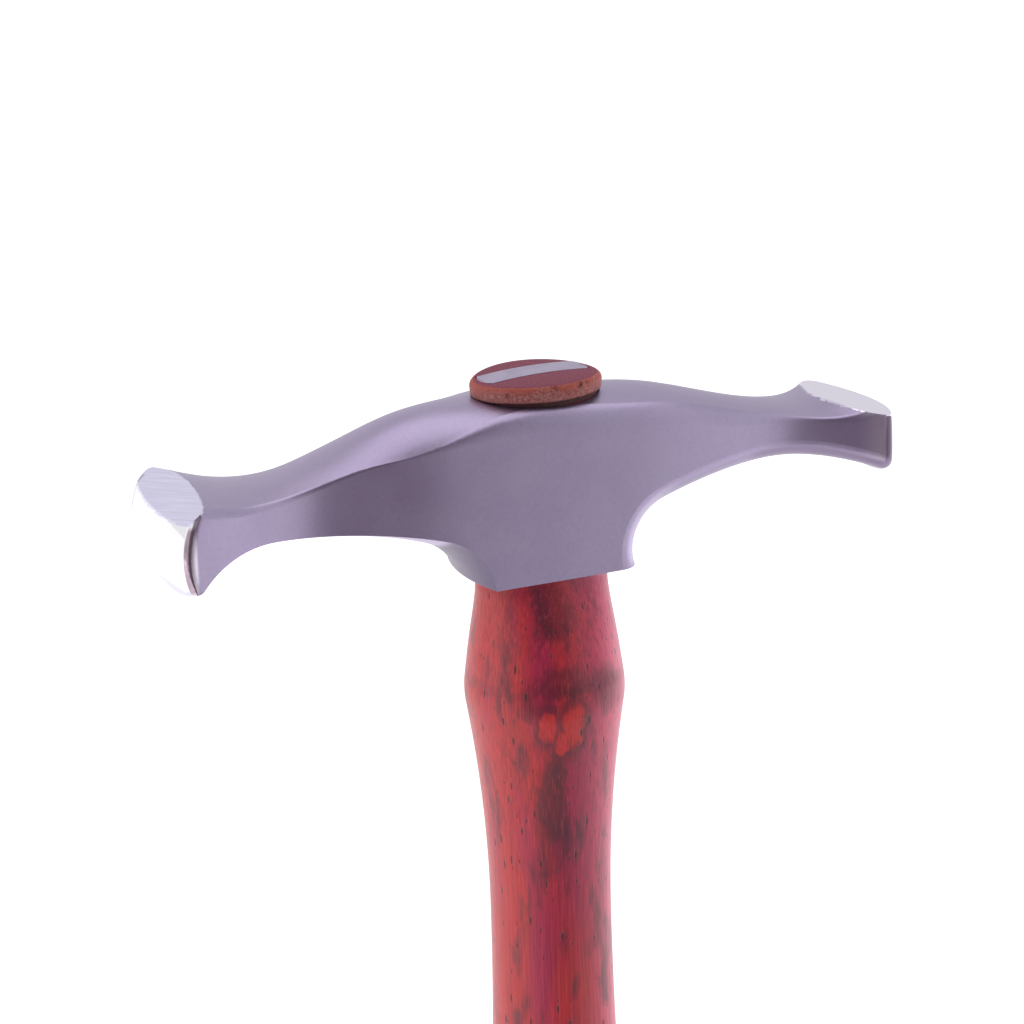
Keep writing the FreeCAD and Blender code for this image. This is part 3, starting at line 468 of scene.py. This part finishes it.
blasted = node(tree, "Math", 1, polished, operation="SUBTRACT")
open_pits = node(tree, "Math", pits, blasted, operation="MULTIPLY")
colour = node(tree, "Mix", data_type="RGBA", Factor=open_pits, A=colour, B=linear("#74687f"))
surface = node(tree, "BsdfPrincipled", Base_Color=colour, Metallic=1.0, Roughness=rough, Normal=bump)
node(tree, "OutputMaterial", Surface=surface)
head.material_slots[0].material = head_steel
print("head finished:", len(head.data.polygons), "faces,", len(tree.nodes), "nodes")


# %% [markdown]
# ## The handle
# The handle was turned on a lathe, except above the swell, where it was shaved to the oval of the
# eye. A lathe shape is often spun from its outline, but a spin can only make round rings. Here one
# ring of edges is drawn out again and again and given a new length and width each time. Rings that
# lie close together where the outline turns fast keep it smooth. The turned outline is made of
# arcs that meet without a corner: the butt, the long sweep, the waist and the swell.

# %% Outline of the turned part
SWELL_Z, SWELL_R, SWELL_ROUND = -19.0, 12.0, 14.0
WAIST_Z, WAIST_R, SWEEP = -54.0, 9.2, 678.0
BUTT_Z, GRIP_R, BUTT_ROUND = -226.0, 14.8, 6.8


def arc_right(centre_x, centre_z, radius, z):
    """Distance from the axis of an arc that bulges outwards, at a height."""
    return centre_x + math.sqrt(max(radius ** 2 - (z - centre_z) ** 2, 0))


def arc_left(centre_x, centre_z, radius, z):
    """Distance from the axis of an arc that is hollow, at a height."""
    return centre_x - math.sqrt(max(radius ** 2 - (z - centre_z) ** 2, 0))


# The hollow between swell and waist touches both.
swell_x = SWELL_R - SWELL_ROUND
step_x, step_z = swell_x - WAIST_R, SWELL_Z - WAIST_Z
hollow = (step_x ** 2 + step_z ** 2 - SWELL_ROUND ** 2) / (2 * (SWELL_ROUND + step_x))
hollow_x = WAIST_R + hollow
swell_end = SWELL_Z + (WAIST_Z - SWELL_Z) * SWELL_ROUND / (SWELL_ROUND + hollow)
print("hollow of", round(hollow, 1), "mm radius up to z", round(swell_end, 2))

# %% Straight taper between the sweep and the butt
sweep_x, butt_x, butt_z = WAIST_R + SWEEP, GRIP_R - BUTT_ROUND, BUTT_Z + BUTT_ROUND
step_x, step_z, both = butt_x - sweep_x, butt_z - WAIST_Z, SWEEP + BUTT_ROUND
squared = step_x ** 2 + step_z ** 2
length = math.sqrt(squared - both ** 2)
normal_x = -(both * step_x + length * step_z) / squared
normal_z = (length * step_x - both * step_z) / squared
sweep_end, grip_end = WAIST_Z - SWEEP * normal_z, butt_z + BUTT_ROUND * normal_z
sweep_end_x, grip_end_x = sweep_x - SWEEP * normal_x, butt_x + BUTT_ROUND * normal_x
taper = (grip_end_x - sweep_end_x) / (grip_end - sweep_end)


def turned_radius(z):
    """Radius of the turned outline at a height, in millimetres."""
    if z > swell_end:
        return arc_right(swell_x, SWELL_Z, SWELL_ROUND, z)
    if z > WAIST_Z:
        return arc_left(hollow_x, WAIST_Z, hollow, z)
    if z > sweep_end:
        return arc_left(sweep_x, WAIST_Z, SWEEP, z)
    if z > grip_end:
        return sweep_end_x + (z - sweep_end) * taper
    return arc_right(butt_x, butt_z, BUTT_ROUND, z)


print("waist ends", round(sweep_end, 2), "butt's curve starts", round(grip_end, 2),
      "radius", round(turned_radius(grip_end), 2))

# %% [markdown]
# ## The shaved part and the tenon
# Above the swell the handle turns from round to oval, quicker in width than in length. Measured
# points along it are joined by a smooth curve, one for the length and one for the width. The tenon
# narrows into the eye, and its end spreads to a bead that lies over the head's top.

# %% Outline of the shaved part
SHAVE_Z, FOOT_Z, FOOT = -17.0, -2.3, (10.1, 7.95)
NECK = [(0.20, 0.10, 0.27), (0.42, 0.34, 0.55), (0.73, 0.72, 0.80)]
shaved_r = turned_radius(SHAVE_Z)
neck_z = [FOOT_Z] + [FOOT_Z + (SHAVE_Z - FOOT_Z) * row[0] for row in NECK] + [SHAVE_Z]
neck_x = [FOOT[0]] + [FOOT[0] + (shaved_r - FOOT[0]) * row[1] for row in NECK] + [shaved_r]
neck_y = [FOOT[1]] + [FOOT[1] + (shaved_r - FOOT[1]) * row[2] for row in NECK] + [shaved_r]
x_curve, y_curve = np.polyfit(neck_z, neck_x, 4), np.polyfit(neck_z, neck_y, 4)
print("shaved from a radius of", round(shaved_r, 2), "to half sizes of", FOOT)

# %% Rings from the butt to the tenon's end
TENON = [(0.0, 9.75, 7.6), (12.0, 8.75, 6.6), (25.4, 9.2, 7.2), (26.1, 9.35, 7.3),
         (26.38, 9.8, 7.85), (27.5, 9.9, 7.95)]
TENON_STEPS = (-1.0, 0.0, 3.0, 6.0, 9.0, 12.0, 16.0, 20.0, 24.0, 25.4, 26.1, 26.2, 26.3, 26.38,
               26.9, 27.5)
TENON_TOP, RIM_ROUND, DOME, RIM_TURN, NEAR_DROP = 29.0, 0.9, 0.6, 82, 0.75
RIM_STEPS = (15, 30, 45, 60, 72, RIM_TURN)

rings = []
for angle in np.linspace(-90, 0, 13)[:-1]:
    turn = math.radians(angle)
    x = butt_x + BUTT_ROUND * math.cos(turn)
    rings.append((butt_z + BUTT_ROUND * math.sin(turn), x, x))
turned_z = [np.linspace(butt_z, sweep_end, 16), np.linspace(sweep_end, WAIST_Z, 12)[1:],
            np.linspace(WAIST_Z, swell_end, 14)[1:], np.linspace(swell_end, SHAVE_Z, 16)[1:-1]]
for z in np.concatenate(turned_z):
    rings.append((z, turned_radius(z), turned_radius(z)))
for z in np.linspace(SHAVE_Z, FOOT_Z, 20):
    rings.append((z, float(np.polyval(x_curve, z)), float(np.polyval(y_curve, z))))
heights, lengths, widths = zip(*TENON)
for z in TENON_STEPS:
    rings.append((z, float(np.interp(z, heights, lengths)), float(np.interp(z, heights, widths))))
end_z, end_x, end_y = TENON[-1]
for angle in RIM_STEPS:
    turn = math.radians(angle)
    inset = RIM_ROUND * (1 - math.cos(turn))
    rings.append((TENON_TOP - DOME - RIM_ROUND * (1 - math.sin(turn)), end_x - inset, end_y - inset))
rings = sorted(rings)
print(len(rings), "rings")

# %% Draw the ring up
AROUND = 128
handle_shape = bmesh.new()
before = rings[0]
made = bmesh.ops.create_circle(handle_shape, cap_ends=False, segments=AROUND, radius=1)
ring_verts = made["verts"]
bmesh.ops.scale(handle_shape, vec=(before[1] * MM, before[2] * MM, 1), verts=ring_verts)
bmesh.ops.translate(handle_shape, vec=(0, 0, before[0] * MM), verts=ring_verts)
ring_edges = list(handle_shape.edges)
lowest_edges = list(ring_edges)
for now in rings[1:]:
    made = bmesh.ops.extrude_edge_only(handle_shape, edges=ring_edges)
    ring_verts = [item for item in made["geom"] if isinstance(item, bmesh.types.BMVert)]
    ring_edges = [item for item in made["geom"] if isinstance(item, bmesh.types.BMEdge)]
    stretch = (now[1] / before[1], now[2] / before[2], 1)
    bmesh.ops.scale(handle_shape, vec=stretch, verts=ring_verts)
    bmesh.ops.translate(handle_shape, vec=(0, 0, (now[0] - before[0]) * MM), verts=ring_verts)
    before = now
bmesh.ops.contextual_create(handle_shape, geom=lowest_edges)
bmesh.ops.contextual_create(handle_shape, geom=ring_edges)
print("handle:", len(handle_shape.verts), "points")

# %% [markdown]
# ## The saw cut and the domed end
# The tenon's end was sawn for the wedge and then filed to a low dome. A Boolean could take the cut
# out, but it leaves ragged faces on a dome. Straight cuts divide the flat end into cells first, the
# cells over the saw cut are sunk into the wood as it narrows, and the rest is raised to a dome.

# %% Cells on the tenon's end
KEY_LENGTH, KEY_TOP, KEY_TIP, KEY_TIP_LENGTH, KEY_DEPTH = 17.1, 4.8, 1.2, 14.0, 16.0
KEY_OFFSET, KEY_ASIDE, KEY_SKEW, KEY_END, FIT = 1.2, 0.05, math.radians(4.0), 4.2, 0.16
END_MARGIN, CELL = 0.35, 2
along_key = Vector((math.cos(KEY_SKEW), math.sin(KEY_SKEW), 0))
over_key = Vector((-math.sin(KEY_SKEW), math.cos(KEY_SKEW), 0))
key_centre = Vector((KEY_ASIDE * MM, KEY_OFFSET * MM, 0))
slot_half, slot_reach = (KEY_TOP / 2 + FIT) * MM, (KEY_LENGTH / 2 - END_MARGIN) * MM
rim_down = RIM_ROUND * (1 - math.sin(math.radians(RIM_TURN)))
level = (TENON_TOP - DOME - rim_down) * MM


def on_top(shape):
    """The faces that look straight up at the tenon's end, with their edges and points."""
    found = [face for face in shape.faces
             if face.normal.z > 0.99 and face.calc_center_median().z > level - 0.02 * MM]
    edges = {edge for face in found for edge in face.edges}
    return found + list(edges) + list({vert for face in found for vert in face.verts})


handle_shape.normal_update()
cuts = [(key_centre + over_key * side * slot_half, over_key) for side in (-1, 1)]
cuts += [(key_centre + along_key * side * slot_reach, along_key) for side in (-1, 1)]
cuts += [(Vector((x * MM, 0, 0)), Vector(X)) for x in range(-8, 9, CELL)]
cuts += [(Vector((0, y * MM, 0)), Vector(Y)) for y in range(-6, 7, CELL)]
for point, normal in cuts:
    bmesh.ops.bisect_plane(handle_shape, geom=on_top(handle_shape), dist=1e-7, plane_co=point,
                           plane_no=normal)
    handle_shape.normal_update()
print(len(cuts), "cuts over the tenon's end")


# %% Sink the saw cut and raise the dome
def in_slot(face):
    """Whether a face lies over the saw cut."""
    middle = face.calc_center_median() - key_centre
    return abs(middle.dot(over_key)) < slot_half and abs(middle.dot(along_key)) < slot_reach


def dome_rise(x, y):
    """How far the filed end rises from its two ends to its middle, and falls to its near side."""
    from_side = 1 - NEAR_DROP * (min(y, 0) / MM / end_y) ** 2
    return (DOME + rim_down) * max(1 - (x / MM / end_x) ** 2, 0) * from_side * MM


slot_faces = [face for face in on_top(handle_shape)
              if isinstance(face, bmesh.types.BMFace) and in_slot(face)]
made = bmesh.ops.extrude_face_region(handle_shape, geom=slot_faces)
bmesh.ops.delete(handle_shape, geom=slot_faces, context="FACES")
sunk = [item for item in made["geom"] if isinstance(item, bmesh.types.BMVert)]
bmesh.ops.translate(handle_shape, vec=(0, 0, -(KEY_DEPTH - 1) * MM), verts=sunk)
turned = Matrix.Rotation(-KEY_SKEW, 4, "Z") @ Matrix.Translation(-key_centre)
narrow = (KEY_TIP_LENGTH / KEY_LENGTH, KEY_TIP / KEY_TOP, 1)
bmesh.ops.scale(handle_shape, vec=narrow, space=turned, verts=sunk)
for vert in handle_shape.verts:
    if vert.co.z > 27.4 * MM:
        vert.co.z += dome_rise(vert.co.x, vert.co.y)
bmesh.ops.recalc_face_normals(handle_shape, faces=handle_shape.faces)
open_edges = sum(1 for edge in handle_shape.edges if edge.is_boundary)
print("slot faces:", len(slot_faces), "open edges:", open_edges)


# %% [markdown]
# ## Oiled red hardwood
# The wood is a padauk: orange red to dark crimson, with long straight fibres and open pores that
# show as short dark dashes along the handle. A picture of wood would need the handle unfolded, and
# its grain would not run on round the handle. Noise in the space of the handle does, as in a real
# plank. A coat of oil over it catches the white surround at the handle's sides. A knot-like figure
# of two bright lobes in a dark outline lies on the swell.

# %% Colour of the wood
ORANGE, CRIMSON, ROSE_SHEEN, SHADOW = "#c2262a", "#ac1a48", "#d2406c", linear("#461026")
DRIFT = 4.5
handle_wood, tree = new_material("oiled_padauk")
figure = grain(tree, (6, 6, 30), 3)
sideways = along(tree, (0.918, -0.397, 0))
heartwood = node(tree, "MapRange", sideways, -10, 10, -0.16, 0.20)
figure = node(tree, "Math", figure, heartwood, operation="ADD")
wood = node(tree, "Mix", data_type="RGBA", Factor=node(tree, "MapRange", figure, 0.36, 0.64),
            A=linear(ORANGE), B=linear(CRIMSON))
# Painted highlight: from 5 mm out, the handle's right side is tinted rose, standing in for the sheen
# of the oil there.
painted_sheen = node(tree, "MapRange", sideways, 5.0, 10.5, 0.0, 0.75, **SMOOTH)
wood = node(tree, "Mix", data_type="RGBA", Factor=painted_sheen, A=wood, B=linear(ROSE_SHEEN))
smudge = node(tree, "MapRange", grain(tree, (3.5, 3.5, 11), 3, 0.6), 0.50, 0.70, 0.0, 0.70, **SMOOTH)
wood = node(tree, "Mix", data_type="RGBA", Factor=smudge, A=wood, B=SHADOW)
print("wood:", ORANGE, "to", CRIMSON)


# %% Dark places and the knot
def drifted(tree, size, reach, detail=2):
    """The place of a point, moved to and fro by a noise, so that what is drawn there is wavy."""
    drift = grain(tree, size, detail).node.outputs["Color"]
    drift = node(tree, "VectorMath", drift, (0.5, 0.5, 0.5), operation="SUBTRACT")
    drift = node(tree, "VectorMath", drift, Scale=reach * MM, operation="SCALE")
    spot = node(tree, "TexCoord").node.outputs["Object"]
    return node(tree, "VectorMath", spot, drift, operation="ADD")


def apart(tree, where, centre, size):
    """How far a point lies from a centre: 1 on an oval shell of the given half sizes round it."""
    moved = node(tree, "Mapping", where, vector_type="TEXTURE", Location=[x * MM for x in centre],
                 Scale=[x * MM for x in size])
    return node(tree, "VectorMath", moved, operation="LENGTH")


DARK_PLACES = [((-1.5, -11.0, -15.0), (6.0, 5.0, 2.6), 0.55),
               ((4.5, -9.5, -17.5), (4.2, 3.8, 5.0), 0.60),
               ((-7.0, -8.6, -18.6), (2.2, 2.4, 2.6), 0.60),
               ((-2.0, -9.0, -5.0), (3.6, 3.0, 6.0), 0.55),
               ((0.0, 0.0, -16.4), (20.0, 20.0, 1.5), 0.32),
               ((-3.4, -9.4, -33.5), (2.8, 3.2, 9.0), 0.75),
               ((-3.0, -9.0, -42.0), (3.0, 3.0, 6.0), 0.40)]
LOBES = [((-4.4, -10.6, -21.4), (1.3, 2.4, 2.6)), ((-0.5, -11.2, -21.8), (1.7, 2.6, 3.8)),
         ((-2.2, -10.4, -24.6), (1.6, 2.4, 2.0))]
wavy = drifted(tree, (3, 3, 5), DRIFT, 3)
for centre, size, strength in DARK_PLACES:
    patch = node(tree, "MapRange", apart(tree, wavy, centre, size), 0.5, 1.1, strength, 0.0, **SMOOTH)
    wood = node(tree, "Mix", data_type="RGBA", Factor=patch, A=wood, B=SHADOW)
nearest = None
for centre, size in LOBES:
    lobe = apart(tree, wavy, centre, size)
    nearest = lobe if nearest is None else node(tree, "Math", nearest, lobe, operation="MINIMUM")
outline = node(tree, "MapRange", nearest, 1.10, 1.90, 0.62, 0.0, **SMOOTH)
wood = node(tree, "Mix", data_type="RGBA", Factor=outline, A=wood, B=SHADOW)
knot = node(tree, "MapRange", nearest, 0.70, 1.15, 0.9, 0.0, **SMOOTH)
wood = node(tree, "Mix", data_type="RGBA", Factor=knot, A=wood, B=linear("#d62a2a"))
print(len(DARK_PLACES), "dark places and", len(LOBES), "lobes")

# %% [markdown]
# ## Fibres, pores and oil
# Fibres are drawn as noise that is far longer than wide. Pores are the middles of long cells, in
# two sizes, dark and sunk. Real pores are 0.2 mm wide, about what the picture can just show.

# %% Fibres and pores
FIBRE, PORES = (0.28, 0.28, 11), [((1.5, 1.5, 6.5), 0.12), ((0.9, 0.9, 4.0), 0.11)]
fibre = grain(tree, FIBRE, 3, 0.65)
dark_fibre = node(tree, "MapRange", fibre, 0.50, 0.72, 0.0, 0.55)
light_fibre = node(tree, "MapRange", fibre, 0.45, 0.28, 0.0, 0.45)
wood = node(tree, "Mix", data_type="RGBA", Factor=dark_fibre, A=wood, B=SHADOW)
wood = node(tree, "Mix", data_type="RGBA", Factor=light_fibre, A=wood, B=linear("#d04a4c"))

spot = node(tree, "TexCoord").node.outputs["Object"]
pores = None
for size, reach in PORES:
    laid = node(tree, "Mapping", spot, vector_type="TEXTURE", Scale=[x * MM for x in size])
    cells = node(tree, "TexVoronoi", laid, Scale=1)
    dash = node(tree, "MapRange", cells, reach - 0.03, reach + 0.02, 1, 0, **SMOOTH)
    pores = dash if pores is None else node(tree, "Math", pores, dash, operation="MAXIMUM")
dark_pores = node(tree, "Math", pores, 0.85, operation="MULTIPLY")
wood = node(tree, "Mix", data_type="RGBA", Factor=dark_pores, A=wood, B=linear("#2a0a12"))

# Oiled padauk gives the eye a deep red under a soft film that whitens at grazing angles.
relief = node(tree, "Math", fibre, 0.35, operation="MULTIPLY")
relief = node(tree, "Math", relief, pores, operation="SUBTRACT")
bump = node(tree, "Bump", Strength=0.5, Distance=0.12 * MM, Height=relief)
surface = node(tree, "BsdfPrincipled", Base_Color=wood, Roughness=0.45, IOR=1.5, Normal=bump,
               Coat_Weight=0.4, Coat_Roughness=0.30, Coat_Normal=bump)
node(tree, "OutputMaterial", Surface=surface)
print("wood:", len(tree.nodes), "nodes")

# %% [markdown]
# ## The sawn end
# Above the head the tenon was sawn off and rounded with a file. End grain drinks the oil and stays
# dull: purple red on top, with the pores as dots, and scuffed brown on its side, where the file
# left torn spots. It is a second material, because nothing of the long grain is seen there.

# %% Top and side of the sawn end
TORN_AND_SHADE = "#2a1214"
end_grain, tree = new_material("filed_padauk_end")
dots = grain(tree, (0.30, 0.30, 1.2), 3, 0.6)
top = node(tree, "Mix", data_type="RGBA", Factor=node(tree, "MapRange", dots, 0.35, 0.65),
           A=linear("#6a1c3a"), B=linear("#903452"))
scuffs = grain(tree, (0.35, 0.35, 0.35), 3, 0.7)
side = node(tree, "Mix", data_type="RGBA", Factor=node(tree, "MapRange", scuffs, 0.35, 0.65),
            A=linear("#7c403a"), B=linear("#bd7c7a"))

height = along(tree, Z)
rubbed = node(tree, "MapRange", height, 27.2, 28.4, -0.1, 0.45)
rubbed = node(tree, "Math", rubbed, grain(tree, (4, 4, 4), 2), operation="ADD")
rubbed = node(tree, "MapRange", rubbed, 0.45, 0.95, 0.0, 0.75)
side = node(tree, "Mix", data_type="RGBA", Factor=rubbed, A=side, B=linear("#a2402e"))
# Painted shade: the foot of the side, just above the head, is darkened where the tenon meets the eye.
foot = node(tree, "MapRange", height, 26.2, 26.7, 0.85, 0.0, **SMOOTH)
side = node(tree, "Mix", data_type="RGBA", Factor=foot, A=side, B=linear(TORN_AND_SHADE))
facing = node(tree, "SeparateXYZ", node(tree, "TexCoord").node.outputs["Normal"]).node.outputs
upward = node(tree, "MapRange", facing["Z"], 0.86, 0.97, 0, 1, **SMOOTH)
wood = node(tree, "Mix", data_type="RGBA", Factor=upward, A=side, B=top)
print("sawn end coloured above its foot at 26.2 mm")

# %% Torn spots
TEARS = [((-0.4, -7.6, 28.3), (0.8, 0.6, 0.35)), ((3.7, -7.2, 28.1), (0.55, 0.5, 0.40)),
         ((5.0, -6.6, 28.2), (0.5, 0.5, 0.25)), ((-7.0, -5.5, 27.6), (0.5, 0.5, 0.30))]
torn_place = drifted(tree, (0.5, 0.5, 0.5), 1.2)
tears = None
for centre, size in TEARS:
    tear = node(tree, "MapRange", apart(tree, torn_place, centre, size), 0.6, 1.1, 1, 0, **SMOOTH)
    tears = tear if tears is None else node(tree, "Math", tears, tear, operation="MAXIMUM")
torn = node(tree, "Math", tears, node(tree, "MapRange", scuffs, 0.35, 0.60), operation="MULTIPLY")
wood = node(tree, "Mix", data_type="RGBA", Factor=torn, A=wood, B=linear(TORN_AND_SHADE))
relief = node(tree, "Math", scuffs, torn, operation="SUBTRACT")
bump = node(tree, "Bump", Strength=0.6, Distance=0.15 * MM, Height=relief)
surface = node(tree, "BsdfPrincipled", Base_Color=wood, Roughness=0.6, IOR=1.5, Normal=bump)
node(tree, "OutputMaterial", Surface=surface)
print(len(TEARS), "torn spots")


# %% Handle
def finish_piece(name, shape, materials, sharp=35):
    """Puts a bmesh into a smooth-shaded object at the origin, with creases where it turns sharply."""
    mesh = bpy.data.meshes.new(name)
    shape.to_mesh(mesh)
    shape.free()
    for material in materials:
        mesh.materials.append(material)
    mesh.shade_smooth()
    mesh.set_sharp_from_angle(angle=math.radians(sharp))
    piece = bpy.data.objects.new(name, mesh)
    bpy.context.scene.collection.objects.link(piece)
    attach(piece, "root")
    return piece


END_GRAIN_Z = 25.5
for face in handle_shape.faces:
    if face.calc_center_median().z > END_GRAIN_Z * MM:
        face.material_index = 1
handle = finish_piece("turned_handle", handle_shape, [handle_wood, end_grain])
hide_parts("handle")
print("handle:", len(handle.data.polygons), "faces")

# %% [markdown]
# ## The wedge
# A steel key, tapered in thickness and a little in length, is driven into the saw cut of the
# tenon and ground flush with its domed end. A cube could be tapered to it. A fine grid is drawn
# down instead, because its top can then follow the dome, and its ends the curve of the key.

# %% Wedge
wedge_shape = bmesh.new()
bmesh.ops.create_grid(wedge_shape, x_segments=32, y_segments=8, size=0.5)
bmesh.ops.scale(wedge_shape, vec=(KEY_LENGTH * MM, KEY_TOP * MM, 1), verts=wedge_shape.verts)
half = KEY_LENGTH / 2
for vert in wedge_shape.verts:
    y = vert.co.y / MM
    reach = half - KEY_END + math.sqrt(KEY_END ** 2 - y ** 2)
    vert.co.x *= reach / half
made = bmesh.ops.extrude_face_region(wedge_shape, geom=wedge_shape.faces[:])
sunk = [item for item in made["geom"] if isinstance(item, bmesh.types.BMVert)]
bmesh.ops.translate(wedge_shape, vec=(0, 0, -KEY_DEPTH * MM), verts=sunk)
bmesh.ops.scale(wedge_shape, vec=narrow, verts=sunk)
skew = Matrix.Rotation(KEY_SKEW, 3, "Z")
bmesh.ops.rotate(wedge_shape, cent=(0, 0, 0), matrix=skew, verts=wedge_shape.verts)
place = (KEY_ASIDE * MM, KEY_OFFSET * MM, level)
bmesh.ops.translate(wedge_shape, vec=place, verts=wedge_shape.verts)
for vert in wedge_shape.verts:
    if abs(vert.co.z - level) < 1e-6:
        vert.co.z += dome_rise(vert.co.x, vert.co.y)
bmesh.ops.recalc_face_normals(wedge_shape, faces=wedge_shape.faces)
print("wedge:", len(wedge_shape.verts), "points")

# %% Steel of the wedge
# Mild steel, ground by hand: dull and a little stained, with fine scratches along the key.
SCRATCH = (5.0, 0.25, 5.0)
wedge_steel, tree = new_material("ground_mild_steel")
scratch = grain(tree, SCRATCH, 2, 0.5, (0, 0, math.radians(8)))
colour = node(tree, "Mix", data_type="RGBA", Factor=scratch, A=linear("#b0a4c0"), B=linear("#c3b8d4"))
stained = node(tree, "MapRange", grain(tree, (2.5, 2.5, 2.5), 3), 0.50, 0.75, 0.0, 0.35)
colour = node(tree, "Mix", data_type="RGBA", Factor=stained, A=colour, B=linear("#8d839c"))
rough = node(tree, "MapRange", scratch, 0.3, 0.7, 0.32, 0.44)
bump = node(tree, "Bump", Strength=0.15, Distance=0.05 * MM, Height=scratch)
surface = node(tree, "BsdfPrincipled", Base_Color=colour, Metallic=1.0, Roughness=rough, Normal=bump)
node(tree, "OutputMaterial", Surface=surface)

wedge = finish_piece("driven_wedge", wedge_shape, [wedge_steel])
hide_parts("wedge")
print("wedge:", len(wedge.data.polygons), "faces")

# %% [markdown]
# ## Last settings
# The picture uses the standard view transform, and the scene is brought up to date.

# %% Finish
bpy.context.scene.view_settings.view_transform = "Standard"
bpy.context.view_layer.update()
